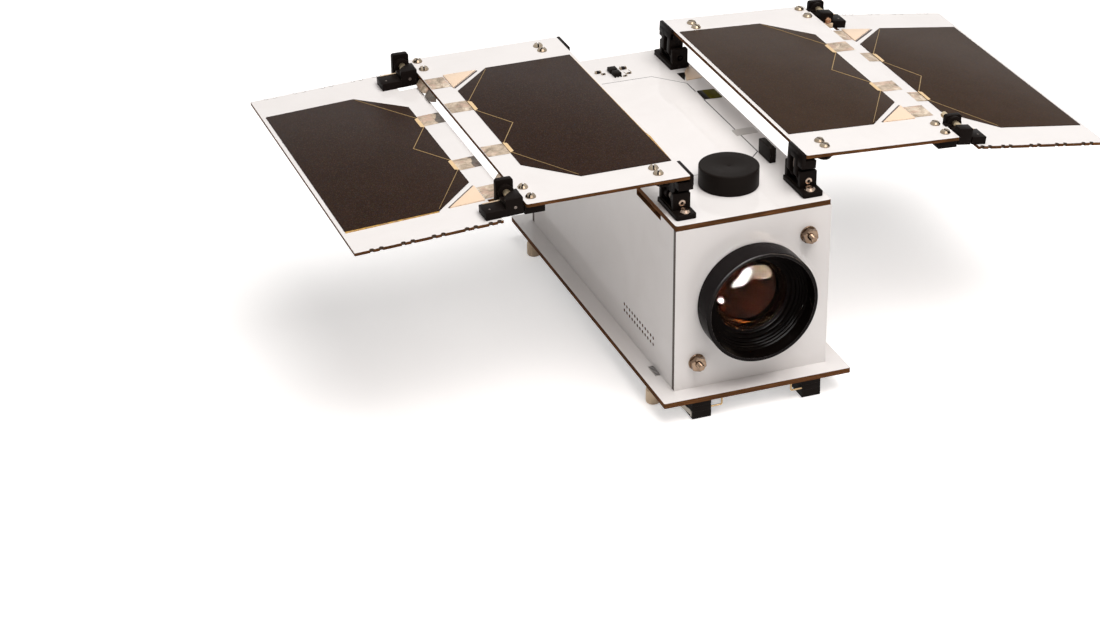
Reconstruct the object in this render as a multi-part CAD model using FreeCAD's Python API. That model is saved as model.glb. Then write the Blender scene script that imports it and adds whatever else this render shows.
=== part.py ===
import FreeCAD, Part
import os
from math import cos, sin, radians, tan, pi
from FreeCAD import Vector, Placement, Rotation

# Driving dimensions, mm. While modelling: x to the right, y from the front face backwards,
# z up from the base plate's upper face. Everything is moved to the part's own frame on export.

BOARD = 1.6                 # printed board thickness
BODY_HALF = 23.7            # body half width
BODY_LONG = 116.7           # body length
BODY_TOP = 52.3             # upper face of the top panel

BASE_HALF = 29.0            # base plate half width
BASE_FRONT = -5.9
BASE_LONG = 128.0
STAND = 7.5                 # base plate's upper face to the floor

LENS_Z = 26.0
HOOD_R = 17.0
HOOD_LONG = 7.5
BARREL_R = 13.0
GLASS_R, GLASS_BULGE = 10.9, 3.0

ROD_R = 1.0
RODS = [                    # name, x, z
    ("upper_rod", 16.8, 42.6),
    ("lower_rod", -16.8, 8.2),
]

FOOT_R = 2.2
FEET = [                    # name, x, y
    ("front_left_foot", -26.5, 8.6),
    ("front_right_foot", 26.5, 8.6),
    ("rear_left_foot", -26.5, 108.1),
    ("rear_right_foot", 26.5, 108.1),
]

SWITCH = dict(x0=14.2, x1=20.0, y0=-5.0, y1=7.8, z0=-7.4, z1=-1.6)
LEVER_ANGLE = 9.5
LEVER_TRAVEL = 6.0
LEVER_LONG = 10.6
LEVER_PIVOT = (19.55, -3.8)
LEVER_Z = (-6.9, -5.3)

PANEL_FRONT = 5.0           # wing panels, along y
PANEL_LONG = 105.6
INNER_X0, INNER_X1 = 17.4, 65.5
OUTER_X0, OUTER_X1 = 66.6, 114.7
INNER_TOP, INNER_T = 64.5, 1.0
OUTER_TOP, OUTER_T = 61.2, 0.9
NOTCH_X, NOTCH_Y = 5.8, 13.4

CELL_T = 0.25
CELL_WIDE, CELL_LONG = 40.0, 80.0
CELL_CUT_X, CELL_CUT_Y = 13.6, 13.2
CELL_FRONT = 17.8
CELL_EDGE = 1.2             # panel edge to the cell's straight edge
CELL_SHIFT = {"left": -2.1, "right": 2.1}   # the inner boards are one design, turned half round

CASTELLATIONS = [109.9, 107.2, 101.0, 98.3, 92.3, 89.7, 82.7, 80.0, 75.5]   # plated half holes in the outer panel's ends, x
CASTELLATION_R = 0.5

BODY_PIN = (19.3, 55.9)     # x, z of the body hinge's axis
BODY_PIN_R = 0.9
BODY_HINGES = [             # name, start of the flange on y, direction of y
    ("front", 2.8, 1),
    ("rear", 113.9, -1),
]

WING_PIN = (68.4, 64.7)     # x, z of the wing hinge's axis
WING_PIN_R = 0.7
WING_HINGES = [("front", 7.0), ("rear", 99.7)]

RUN = 0.05                  # radial clearance of a leaf on its pin

# how far each panel hangs below level when it rests on its stop, degrees
SAG = {"left": (0.1, 2.9), "right": (3.0, 4.9)}

Y_MID = (-HOOD_LONG + BASE_FRONT + BASE_LONG) / 2
MOVE = Vector(0, -Y_MID, STAND)


def box(x0, x1, y0, y1, z0, z1):
    return Part.makeBox(x1 - x0, y1 - y0, z1 - z0, Vector(x0, y0, z0))


def rod_y(x, z, r, y0, y1):
    return Part.makeCylinder(r, y1 - y0, Vector(x, y0, z), Vector(0, 1, 0))


def rod_z(x, y, r, z0, z1):
    return Part.makeCylinder(r, z1 - z0, Vector(x, y, z0), Vector(0, 0, 1))


def plate(points, z0, z1):
    face = Part.Face(Part.makePolygon([Vector(x, y, z0) for x, y in points + points[:1]]))
    return face.extrude(Vector(0, 0, z1 - z0))


def section_y(points, y0, y1):
    """Prism along y from x, z points."""
    face = Part.Face(Part.makePolygon([Vector(x, y0, z) for x, z in points + points[:1]]))
    return face.extrude(Vector(0, y1 - y0, 0))


def ring_y(profile, x, z):
    """Solid of revolution about a line along y; profile is y, r points."""
    pts = [Vector(x + r, y, z) for y, r in profile + profile[:1]]
    return Part.Face(Part.makePolygon(pts)).revolve(Vector(x, 0, z), Vector(0, 1, 0), 360)


def mirror_x(shape):
    return shape.mirror(Vector(0, 0, 0), Vector(1, 0, 0))


def turned_y(shape, x, z, degrees):
    s = shape.copy()
    s.rotate(Vector(x, 0, z), Vector(0, 1, 0), degrees)
    return s


def save(name, shape):
    s = shape.copy()
    s.translate(MOVE)
    solids = s.Solids
    if len(solids) == 1:
        s = solids[0]
    if not s.isValid():
        print("not valid:", name)
    if len(solids) != 1:
        print("solids in", name, len(solids))
    s.exportStep("parts/%s.step" % name)
    names.append(name)


names = []


# ---------------------------------------------------------------- body

def base_plate():
    return box(-BASE_HALF, BASE_HALF, BASE_FRONT, BASE_FRONT + BASE_LONG, -BOARD, 0)


def top_panel():
    return box(-BODY_HALF, BODY_HALF, 0, BODY_LONG, BODY_TOP - BOARD, BODY_TOP)


def side_panel():
    return box(BODY_HALF - BOARD, BODY_HALF, BOARD, BODY_LONG - BOARD, 0, BODY_TOP - BOARD)


def end_panel(y0, lens):
    s = box(-BODY_HALF, BODY_HALF, y0, y0 + BOARD, 0, BODY_TOP - BOARD)
    for _, x, z in RODS:
        s = s.cut(rod_y(x, z, ROD_R + 0.1, y0 - 1, y0 + BOARD + 1))
    if lens:
        s = s.cut(rod_y(0, LENS_Z, BARREL_R + 0.3, y0 - 1, y0 + BOARD + 1))
    return s


def board_stack():
    return box(-14, 14, 24, 112, 0, BODY_TOP - BOARD)


def threaded_rod(x, z):
    return rod_y(x, z, ROD_R, -3.4, BODY_LONG + 3.4)


def lens_hood():
    profile = [(0, HOOD_R), (-HOOD_LONG, HOOD_R), (-HOOD_LONG, 15.9), (-3.3, 15.6), (-3.3, 15.0), (-2.7, 14.9), (-2.7, 14.4),
               (-2.1, 14.3), (-2.1, 13.8), (-1.5, 13.7), (-1.5, 13.0), (-0.6, 12.9), (-0.6, 12.0), (0, 12.0)]
    return ring_y(profile, 0, LENS_Z)


def lens_barrel():
    profile = [(0, BARREL_R), (0, 12.0), (0.6, GLASS_R + 0.1), (1.9, GLASS_R + 0.1), (1.9, 0), (20, 0), (20, BARREL_R)]
    return ring_y(profile, 0, LENS_Z)


def lens_glass():
    front = 0.6 - GLASS_BULGE
    ball = (GLASS_R ** 2 + GLASS_BULGE ** 2) / (2 * GLASS_BULGE)
    s = rod_y(0, LENS_Z, GLASS_R, front, 1.9)
    return s.common(Part.makeSphere(ball, Vector(0, front + ball, LENS_Z)))


def round_knob():
    s = rod_z(0.6, 19.6, 8.7, BODY_TOP, BODY_TOP + 6.2)
    s = s.makeFillet(0.4, [e for e in s.Edges if abs(e.BoundBox.ZMin - BODY_TOP - 6.2) < 1e-6])
    dimple = Part.makeCone(5.2, 0.6, 0.7, Vector(0.6, 19.6, BODY_TOP + 6.2), Vector(0, 0, -1))
    return s.cut(dimple)


def sensor_block():
    s = box(17.0, 19.0, 27.6, 35.6, BODY_TOP, BODY_TOP + 4.6)
    return s.makeFillet(0.25, [e for e in s.Edges if e.BoundBox.ZMax - e.BoundBox.ZMin > 4])


def foot(x, y):
    s = rod_z(x, y, FOOT_R, -STAND, -BOARD)
    return s.makeFillet(0.4, [e for e in s.Edges if abs(e.BoundBox.ZMax + STAND) < 1e-6])


# ------------------------------------------------- switches under the plate

def switch_case():
    w = SWITCH
    px, py = LEVER_PIVOT
    s = box(w["x0"], w["x1"], w["y0"], w["y1"], w["z0"], w["z1"])
    floor = tan(radians(LEVER_ANGLE - LEVER_TRAVEL))    # the groove's floor lies along the pressed lever
    groove = [(px - 0.75, py - 0.75), (px - 0.75, py + 0.8), (px - 0.4 + 0.8 * floor, py + 0.8),
              (px - 0.4 + (w["y1"] + 1 - py) * floor, w["y1"] + 1), (w["x1"] + 1, w["y1"] + 1), (w["x1"] + 1, py - 0.75)]
    s = s.cut(plate(groove, LEVER_Z[0] - 0.15, LEVER_Z[1] + 0.15))
    return s.fuse(rod_z(px, py, 0.3, LEVER_Z[0] - 0.3, LEVER_Z[1] + 0.3)).removeSplitter()


def switch_lever():
    px, py = LEVER_PIVOT
    z0, z1 = LEVER_Z
    s = box(px - 0.15, px + 0.15, py + 0.3, py + LEVER_LONG, z0, z1)
    s = s.fuse(rod_z(px, py, 0.6, z0, z1)).cut(rod_z(px, py, 0.3 + RUN, z0 - 1, z1 + 1))
    s = s.removeSplitter()
    s.rotate(Vector(px, py, 0), Vector(0, 0, 1), -LEVER_ANGLE)
    return s


# ---------------------------------------------------------------- wings
# drawn for the right wing and mirrored for the left one

def inner_panel():
    return box(INNER_X0, INNER_X1, PANEL_FRONT, PANEL_FRONT + PANEL_LONG, INNER_TOP - INNER_T, INNER_TOP)


def outer_panel():
    y0, y1 = PANEL_FRONT, PANEL_FRONT + PANEL_LONG
    xn = OUTER_X0 + NOTCH_X
    pts = [(xn, y0), (OUTER_X1, y0), (OUTER_X1, y1), (xn, y1), (xn, y1 - NOTCH_Y), (OUTER_X0, y1 - NOTCH_Y),
           (OUTER_X0, y0 + NOTCH_Y), (xn, y0 + NOTCH_Y)]
    s = plate(pts, OUTER_TOP - OUTER_T, OUTER_TOP)
    for x in CASTELLATIONS:
        for y in (y0, y1):
            s = s.cut(rod_z(x, y, CASTELLATION_R, OUTER_TOP - OUTER_T - 1, OUTER_TOP + 1))
    return s


def cell(x_edge, way, top, shift=0.0):
    """Cell with its straight edge at x_edge and its clipped corners in direction way."""
    y0, y1 = CELL_FRONT + shift, CELL_FRONT + CELL_LONG + shift
    xe, xf = x_edge, x_edge + way * CELL_WIDE
    pts = [(xe, y0), (xf - way * CELL_CUT_X, y0), (xf, y0 + CELL_CUT_Y), (xf, y1 - CELL_CUT_Y),
           (xf - way * CELL_CUT_X, y1), (xe, y1)]
    return plate(pts, top, top + CELL_T)


def y_span(start, way, a, b):
    """Ends of a stretch a..b of a hinge that starts at start and runs in direction way."""
    return tuple(sorted((start + way * a, start + way * b)))


def hinge_housing(start, way):
    px, pz = BODY_PIN
    y0, y1 = y_span(start, way, 0, 14)
    s = box(px - 3.1, px + 3.1, y0, y1, BODY_TOP, BODY_TOP + 1.5)
    for a, b in ((3.7, 5.3), (12.4, 14.0)):
        y0, y1 = y_span(start, way, a, b)
        ear = box(px - 2.6, px + 2.6, y0, y1, BODY_TOP + 1.5, pz + 3.0)
        s = s.fuse(ear.makeFillet(0.4, [e for e in ear.Edges if abs(e.BoundBox.ZMin - pz - 3.0) < 1e-6
                                        and e.BoundBox.YMax - e.BoundBox.YMin > 1]))
    y0, y1 = y_span(start, way, 3, 15)
    return s.cut(rod_y(px, pz, BODY_PIN_R, y0, y1)).removeSplitter()


def hinge_leaf(start, way):
    px, pz = BODY_PIN
    y0, y1 = y_span(start, way, 5.5, 12.2)
    under = INNER_TOP - INNER_T
    knuckle = rod_y(px, pz, 2.1, y0, y1)
    stem = box(px - 3.0, px + 1.5, y0, y1, pz, under)
    wall = box(px - 3.0, INNER_X0, y0, y1, pz + 2, INNER_TOP + 0.15)
    ya, yb = y_span(start, way, 3.9, 12.2)
    tongue = box(px - 3.0, px + 7.6, ya, yb, under - 1.1, under)
    return knuckle.fuse([stem, wall, tongue]).cut(rod_y(px, pz, BODY_PIN_R + RUN, y0 - 1, y1 + 1)).removeSplitter()


def hinge_pin(start, way):
    px, pz = BODY_PIN
    y0, y1 = y_span(start, way, 3.7, 14.0)
    s = rod_y(px, pz, BODY_PIN_R, y0, y1)
    ya, yb = y_span(start, way, 3.45, 3.7)
    s = s.fuse(rod_y(px, pz, 1.15, ya, yb)).removeSplitter()
    return s.cut(rod_y(px, pz, 0.45, y0 - 1, y1 + 1))


def wing_inner_leaf(start):
    px, pz = WING_PIN
    y0, y1 = start, start + 10.1
    base = box(59.6, INNER_X1 - 0.2, y0, y1, OUTER_TOP, INNER_TOP - INNER_T)
    foot_ = box(INNER_X1 - 0.4, px + 2.6, y0 + 7.5, y0 + 9.5, OUTER_TOP, INNER_TOP - INNER_T)
    ear = box(px - 2.5, px + 2.6, y0 + 7.5, y0 + 9.5, OUTER_TOP, pz + 3.6)
    ear = ear.makeFillet(0.5, [e for e in ear.Edges if abs(e.BoundBox.ZMin - pz - 3.6) < 1e-6
                               and e.BoundBox.YMax - e.BoundBox.YMin > 1])
    s = base.fuse([foot_, ear])
    return s.cut(rod_y(px, pz, WING_PIN_R, y0 + 6, y0 + 11)).removeSplitter()


def wing_outer_leaf(start):
    px, pz = WING_PIN
    y0, y1 = start, start + 5.3
    bar = section_y([(px, OUTER_TOP), (76.9, OUTER_TOP), (76.9, OUTER_TOP + 2.3), (px + 3.9, OUTER_TOP + 2.3),
                     (px + 2.5, pz - 0.3), (px, pz - 0.3)], y0, y1)
    block = box(px - 2.5, px + 2.5, y0, y1, OUTER_TOP, pz + 2.4)
    top = [e for e in block.Edges if abs(e.BoundBox.ZMin - pz - 2.4) < 1e-6 and e.BoundBox.YMax - e.BoundBox.YMin > 1]
    block = block.makeFillet(2.0, top)
    s = bar.fuse(block)
    return s.cut(rod_y(px, pz, WING_PIN_R + RUN, y0 - 1, y1 + 1)).removeSplitter()


def wing_pin(start, reach):
    px, pz = WING_PIN
    s = rod_y(px, pz, WING_PIN_R, start - 0.3, start + reach)
    return s.fuse(rod_y(px, pz, 1.25, start + 5.6, start + 7.5)).removeSplitter()


# ---------------------------------------------------------------- export

os.makedirs("parts", exist_ok=True)

save("base_plate", base_plate())
save("top_panel", top_panel())
save("right_side_panel", side_panel())
save("left_side_panel", mirror_x(side_panel()))
save("front_panel", end_panel(0, True))
save("rear_panel", end_panel(BODY_LONG - BOARD, False))
save("board_stack", board_stack())
for name, x, z in RODS:
    save(name, threaded_rod(x, z))
save("lens_hood", lens_hood())
save("lens_barrel", lens_barrel())
save("lens_glass", lens_glass())
save("round_knob", round_knob())
save("sensor_block", sensor_block())
for name, x, y in FEET:
    save(name, foot(x, y))
save("right_switch_case", switch_case())
save("left_switch_case", mirror_x(switch_case()))
save("right_switch_lever", switch_lever())
save("left_switch_lever", mirror_x(switch_lever()))


def fixed(side, shape):
    return shape if side == "right" else mirror_x(shape)


def on_inner(side, shape):
    s = turned_y(shape, BODY_PIN[0], BODY_PIN[1], SAG[side][0])
    return fixed(side, s)


def on_outer(side, shape):
    s = turned_y(shape, WING_PIN[0], WING_PIN[1], SAG[side][1])
    return on_inner(side, s)


for side in ("left", "right"):
    save(side + "_inner_panel", on_inner(side, inner_panel()))
    save(side + "_outer_panel", on_outer(side, outer_panel()))
    save(side + "_inner_cell", on_inner(side, cell(INNER_X0 + CELL_EDGE, 1, INNER_TOP, CELL_SHIFT[side])))
    save(side + "_outer_cell", on_outer(side, cell(OUTER_X1 - CELL_EDGE, -1, OUTER_TOP)))
    for end, start, way in BODY_HINGES:
        save("%s_%s_hinge_housing" % (side, end), fixed(side, hinge_housing(start, way)))
        save("%s_%s_hinge_leaf" % (side, end), on_inner(side, hinge_leaf(start, way)))
        save("%s_%s_hinge_pin" % (side, end), fixed(side, hinge_pin(start, way)))
    for end, start in WING_HINGES:
        save("%s_%s_wing_inner_leaf" % (side, end), on_inner(side, wing_inner_leaf(start)))
        save("%s_%s_wing_outer_leaf" % (side, end), on_outer(side, wing_outer_leaf(start)))
        save("%s_%s_wing_pin" % (side, end), on_inner(side, wing_pin(start, 11.8 if end == "front" else 9.9)))

print(len(names), "nodes")
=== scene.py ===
import bpy
import bmesh
import random
from math import sin, cos, tan, asin, pi, radians, degrees
from types import SimpleNamespace
from mathutils import Matrix, Vector


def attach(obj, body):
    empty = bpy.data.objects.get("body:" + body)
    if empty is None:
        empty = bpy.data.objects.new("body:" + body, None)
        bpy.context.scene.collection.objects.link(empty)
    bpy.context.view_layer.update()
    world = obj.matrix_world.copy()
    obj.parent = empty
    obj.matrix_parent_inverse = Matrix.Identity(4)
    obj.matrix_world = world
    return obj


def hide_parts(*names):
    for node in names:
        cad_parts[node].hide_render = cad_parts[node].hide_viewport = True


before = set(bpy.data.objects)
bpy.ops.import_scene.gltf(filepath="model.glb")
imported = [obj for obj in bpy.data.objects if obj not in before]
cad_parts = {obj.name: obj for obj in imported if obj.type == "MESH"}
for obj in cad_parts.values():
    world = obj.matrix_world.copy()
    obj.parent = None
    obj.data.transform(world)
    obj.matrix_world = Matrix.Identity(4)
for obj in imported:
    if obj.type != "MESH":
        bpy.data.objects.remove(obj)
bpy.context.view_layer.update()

# Drawn in millimetres: x to the right, y back from the front face, z up from the base plate's upper face.
body = dict(half=23.7, long=116.7, top=52.3, board=1.6)
base = dict(half=29.0, front=-5.9, long=128.0, stand=7.5)
hood = dict(radius=17.0, long=7.5)
rods = dict(upper=(16.8, 42.6), lower=(-16.8, 8.2))
wing = dict(pin=(19.3, 55.9), tipPin=(68.4, 64.7), front=5.0, rear=110.6,
            inner=(17.4, 65.5), innerTop=64.5, innerThick=1.0,
            outer=(66.6, 114.7), outerTop=61.2, outerThick=0.9,
            sag=dict(left=(0.1, 2.9), right=(3.0, 4.9)))    # how far each panel hangs below level, degrees

middle = (base["front"] + base["long"] - hood["long"]) / 2
toFrame = Matrix.Scale(0.001, 4) @ Matrix.Translation((0, -middle, base["stand"]))
mirror = dict(left=Matrix.Scale(-1, 4, (1, 0, 0)), right=Matrix.Identity(4))


# nodes: each helper makes one node and gives its output

def node(tree, kind, inputs=None, **settings):
    made = tree.nodes.new(kind)
    for key, value in settings.items():
        setattr(made, key, value)
    for key, value in (inputs or {}).items():
        socket = made.inputs[key]
        if isinstance(value, bpy.types.NodeSocket):
            tree.links.new(value, socket)
        else:
            socket.default_value = (*value, 1) if socket.type == "RGBA" and len(value) == 3 else value
    return made


def objectPlace(tree):
    return node(tree, "ShaderNodeTexCoord").outputs["Object"]


def texture(tree, kind, where, settings=None, output="Fac", **inputs):
    return node(tree, "ShaderNodeTex" + kind, {"Vector": where, **inputs}, **(settings or {})).outputs[output]


def ramp(tree, value, places, colours):
    made = node(tree, "ShaderNodeValToRGB", {"Fac": value})
    elements = made.color_ramp.elements
    while len(elements) < len(places):
        elements.new(0.5)
    for element, place, colour in zip(elements, places, colours):
        element.position = place
        element.color = (*colour, 1)
    return made.outputs["Color"]


def mix(tree, share, a, b):
    return node(tree, "ShaderNodeMix", {0: share, 6: a, 7: b}, data_type="RGBA", clamp_factor=True).outputs[2]


def calc(tree, operation, a, b=0.5, c=0.0):
    return node(tree, "ShaderNodeMath", {0: a, 1: b, 2: c}, operation=operation).outputs[0]


def times(tree, a, b):
    return calc(tree, "MULTIPLY", a, b)


def spread(tree, value, low, high, fromLow=0.0, fromHigh=1.0):
    limits = {"From Min": fromLow, "From Max": fromHigh, "To Min": low, "To Max": high}
    return node(tree, "ShaderNodeMapRange", {"Value": value, **limits}).outputs["Result"]


# effects that several materials share

def newGroup(name, inputs, outputs):
    group = bpy.data.node_groups.new(name, "ShaderNodeTree")
    for label, default in inputs.items():
        socket = group.interface.new_socket(name=label, in_out="INPUT", socket_type="NodeSocketFloat")
        socket.default_value = default
    for label in outputs:
        group.interface.new_socket(name=label, in_out="OUTPUT", socket_type="NodeSocketFloat")
    return group, node(group, "NodeGroupInput").outputs, node(group, "NodeGroupOutput").inputs


def placeGroup(tree, group, **values):
    made = node(tree, "ShaderNodeGroup", node_tree=group)
    for key, value in values.items():
        made.inputs[key].default_value = value
    return made.outputs


def makeEdgeWear():
    group, given, out = newGroup("edge wear", dict(Width=0.0003, Amount=0.6, Breakup=900.0), ["Mask"])
    soft = node(group, "ShaderNodeBevel", {"Radius": given["Width"]}, samples=4).outputs["Normal"]
    hard = node(group, "ShaderNodeNewGeometry").outputs["Normal"]
    facing = node(group, "ShaderNodeVectorMath", {0: soft, 1: hard}, operation="DOT_PRODUCT").outputs["Value"]
    edge = spread(group, facing, 1.0, 0.0, 0.80, 0.995)
    rough = texture(group, "Noise", objectPlace(group), Scale=given["Breakup"], Detail=4.0)
    broken = spread(group, rough, 0.0, 1.0, 0.40, 0.62)
    group.links.new(times(group, times(group, edge, broken), given["Amount"]), out["Mask"])
    return group


def makeGrain():
    group, given, out = newGroup("fine grain", dict(Scale=3000.0, Contrast=0.5), ["Value", "Large"])
    where = objectPlace(group)
    fine = texture(group, "Noise", where, Scale=given["Scale"], Detail=3.0, Roughness=0.65)
    centred = times(group, calc(group, "SUBTRACT", fine, 0.5), given["Contrast"])
    wide = texture(group, "Noise", where, Scale=times(group, given["Scale"], 0.03), Detail=2.0)
    group.links.new(calc(group, "ADD", centred, 0.5), out["Value"])
    group.links.new(wide, out["Large"])
    return group


def makeHandling():
    group, given, out = newGroup("handling marks", dict(Scale=45.0, Amount=1.0), ["Smudge", "Specks"])
    where = objectPlace(group)
    patch = texture(group, "Noise", where, Scale=given["Scale"], Detail=5.0, Roughness=0.6, Distortion=0.8)
    dust = texture(group, "Voronoi", where, output="Distance", Scale=times(group, given["Scale"], 9.0))
    chance = texture(group, "Noise", where, Scale=times(group, given["Scale"], 3.1))
    smudge = spread(group, patch, 0.0, 1.0, 0.47, 0.70)
    dots = spread(group, dust, 1.0, 0.0, 0.02, 0.05)
    speck = times(group, dots, spread(group, chance, 0.0, 1.0, 0.60, 0.66))
    group.links.new(times(group, smudge, given["Amount"]), out["Smudge"])
    group.links.new(times(group, speck, given["Amount"]), out["Specks"])
    return group


edgeWear, fineGrain, handlingMarks = makeEdgeWear(), makeGrain(), makeHandling()


# finishes

def newMaterial(name, **constants):
    # fixed values go on the shader's own sockets
    m = bpy.data.materials.new(name)
    m.use_nodes = True
    m.node_tree.nodes.clear()
    shader = node(m.node_tree, "ShaderNodeBsdfPrincipled")
    node(m.node_tree, "ShaderNodeOutputMaterial", {"Surface": shader.outputs[0]})
    for key, value in constants.items():
        shader.inputs[key.replace("_", " ")].default_value = value
    return m, m.node_tree, shader


def feed(tree, shader, **sockets):
    for key, value in sockets.items():
        tree.links.new(value, shader.inputs[key.replace("_", " ")])


def relief(tree, shader, height, strength, distance=0.00002):
    bump = node(tree, "ShaderNodeBump", {"Height": height, "Strength": strength, "Distance": distance})
    feed(tree, shader, Normal=bump.outputs["Normal"])


def makeWhiteMask():    # printed white solder mask over glass cloth
    look = dict(white=(0.832, 0.820, 0.814), shade=(0.790, 0.775, 0.768), stain=(0.62, 0.58, 0.55),
                speck=(0.22, 0.18, 0.15), bare=(0.46, 0.36, 0.24), weave=1500.0)
    m, tree, shader = newMaterial("whiteMask", Coat_Weight=0.5, Coat_Roughness=0.06, Specular_IOR_Level=0.0)
    grain = placeGroup(tree, fineGrain, Scale=2600.0, Contrast=0.35)
    marks = placeGroup(tree, handlingMarks, Scale=48.0, Amount=0.75)
    worn = placeGroup(tree, edgeWear, Width=0.00018, Amount=0.35, Breakup=1400.0)
    colour = mix(tree, grain["Large"], look["white"], look["shade"])
    colour = mix(tree, times(tree, marks["Smudge"], 0.16), colour, look["stain"])
    colour = mix(tree, times(tree, marks["Specks"], 0.35), colour, look["speck"])
    colour = mix(tree, worn["Mask"], colour, look["bare"])
    where = objectPlace(tree)
    warp, weft = [texture(tree, "Wave", where, dict(bands_direction=way), Scale=look["weave"], Distortion=0.6)
                  for way in "XY"]
    height = calc(tree, "MULTIPLY_ADD", calc(tree, "ADD", warp, weft), 0.25, times(tree, grain["Value"], 0.5))
    feed(tree, shader, Base_Color=colour, Roughness=spread(tree, marks["Smudge"], 0.30, 0.46))
    relief(tree, shader, height, 0.10, 0.00001)
    return m


def makeLaminateEdge():    # sawn glass-epoxy edge, brown with pale and burnt layers
    look = dict(burnt=(0.026, 0.0085, 0.0045), brown=(0.076, 0.027, 0.011), tan=(0.155, 0.062, 0.022),
                pale=(0.27, 0.14, 0.050), stain=(0.045, 0.018, 0.006), fibre=(0.22, 0.12, 0.05))
    m, tree, shader = newMaterial("laminateEdge", Specular_IOR_Level=0.03)
    stretch = node(tree, "ShaderNodeMapping", {"Vector": objectPlace(tree), "Scale": (160.0, 160.0, 5200.0)})
    layers = texture(tree, "Noise", stretch.outputs["Vector"], Scale=1.0, Detail=3.0)
    grain = placeGroup(tree, fineGrain, Scale=3800.0, Contrast=0.9)
    shades = [look[shade] for shade in ("burnt", "brown", "tan", "pale")]
    colour = ramp(tree, layers, (0.25, 0.46, 0.60, 0.80), shades)
    colour = mix(tree, spread(tree, grain["Large"], 0.0, 0.7, 0.45, 0.65), colour, look["stain"])
    colour = mix(tree, times(tree, grain["Value"], 0.25), colour, look["fibre"])
    feed(tree, shader, Base_Color=colour, Roughness=spread(tree, grain["Value"], 0.55, 0.8))
    relief(tree, shader, calc(tree, "ADD", layers, grain["Value"]), 0.35, 0.00003)
    return m


def makeBlack(name, dark, tint, roughness, wornColour, wornAmount, grainScale, grainDepth, specular):
    m, tree, shader = newMaterial(name, Specular_IOR_Level=specular)
    grain = placeGroup(tree, fineGrain, Scale=grainScale, Contrast=0.8)
    worn = placeGroup(tree, edgeWear, Width=0.00016, Amount=wornAmount, Breakup=1700.0)
    marks = placeGroup(tree, handlingMarks, Scale=120.0, Amount=0.8)
    colour = mix(tree, grain["Large"], dark, tint)
    colour = mix(tree, times(tree, marks["Specks"], 0.25), colour, (0.20, 0.17, 0.15))
    colour = mix(tree, worn["Mask"], colour, wornColour)
    rough = spread(tree, grain["Value"], *roughness)
    rough = calc(tree, "SUBTRACT", rough, times(tree, marks["Smudge"], 0.06))
    feed(tree, shader, Base_Color=colour, Roughness=rough)
    relief(tree, shader, grain["Value"], grainDepth)
    return m


def makeCellGlass(name, dark, warm):    # cover glass over the dark cell, with flecks and fine fingers
    look = dict(red=(0.085, 0.045, 0.030), blue=(0.022, 0.034, 0.060), green=(0.050, 0.060, 0.022),
                finger=(0.10, 0.065, 0.045), pitch=0.00071)
    m, tree, shader = newMaterial(name, Specular_IOR_Level=0.030, Specular_Tint=(1.0, 0.74, 0.60, 1))
    grain = placeGroup(tree, fineGrain, Scale=4200.0, Contrast=1.0)
    where = objectPlace(tree)
    fleck = texture(tree, "Voronoi", where, output="Color", Scale=5200.0)
    parts = node(tree, "ShaderNodeSeparateColor", {"Color": fleck}).outputs
    colour = mix(tree, grain["Large"], dark, warm)
    for part, share, start, fleckColour in (("Red", 0.55, 0.72, "red"), ("Green", 0.45, 0.80, "blue"),
                                            ("Blue", 0.40, 0.84, "green")):
        colour = mix(tree, spread(tree, parts[part], 0.0, share, start, 1.0), colour, look[fleckColour])
    along = node(tree, "ShaderNodeSeparateXYZ", {"Vector": where}).outputs["Y"]
    line = calc(tree, "FRACT", calc(tree, "DIVIDE", along, look["pitch"]))
    fingers = spread(tree, line, 0.13, 0.0, 0.0, 0.10)
    colour = mix(tree, times(tree, fingers, 0.35), colour, look["finger"])
    feed(tree, shader, Base_Color=colour, Roughness=spread(tree, grain["Value"], 0.34, 0.50))
    relief(tree, shader, grain["Value"], 0.08, 0.00001)
    return m


def makeGold(name, dark, light):
    m, tree, shader = newMaterial(name, Specular_IOR_Level=0.6)
    grain = placeGroup(tree, fineGrain, Scale=3000.0, Contrast=1.0)
    feed(tree, shader, Base_Color=mix(tree, grain["Value"], dark, light),
         Metallic=spread(tree, grain["Large"], 0.45, 0.7), Roughness=spread(tree, grain["Value"], 0.30, 0.5))
    relief(tree, shader, grain["Value"], 0.3)
    return m


def makeAmber():    # adhesive film that shows as a fine bright line round a cell
    m, tree, shader = newMaterial("amberFilm", Coat_Weight=0.6, Coat_Roughness=0.15)
    grain = placeGroup(tree, fineGrain, Scale=900.0, Contrast=1.0)
    shades = [(0.20, 0.08, 0.01), (0.52, 0.28, 0.02), (0.70, 0.45, 0.06)]
    colour = ramp(tree, grain["Value"], (0.30, 0.55, 0.75), shades)
    feed(tree, shader, Base_Color=colour, Roughness=spread(tree, grain["Large"], 0.3, 0.5))
    relief(tree, shader, grain["Value"], 0.2)
    return m


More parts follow.
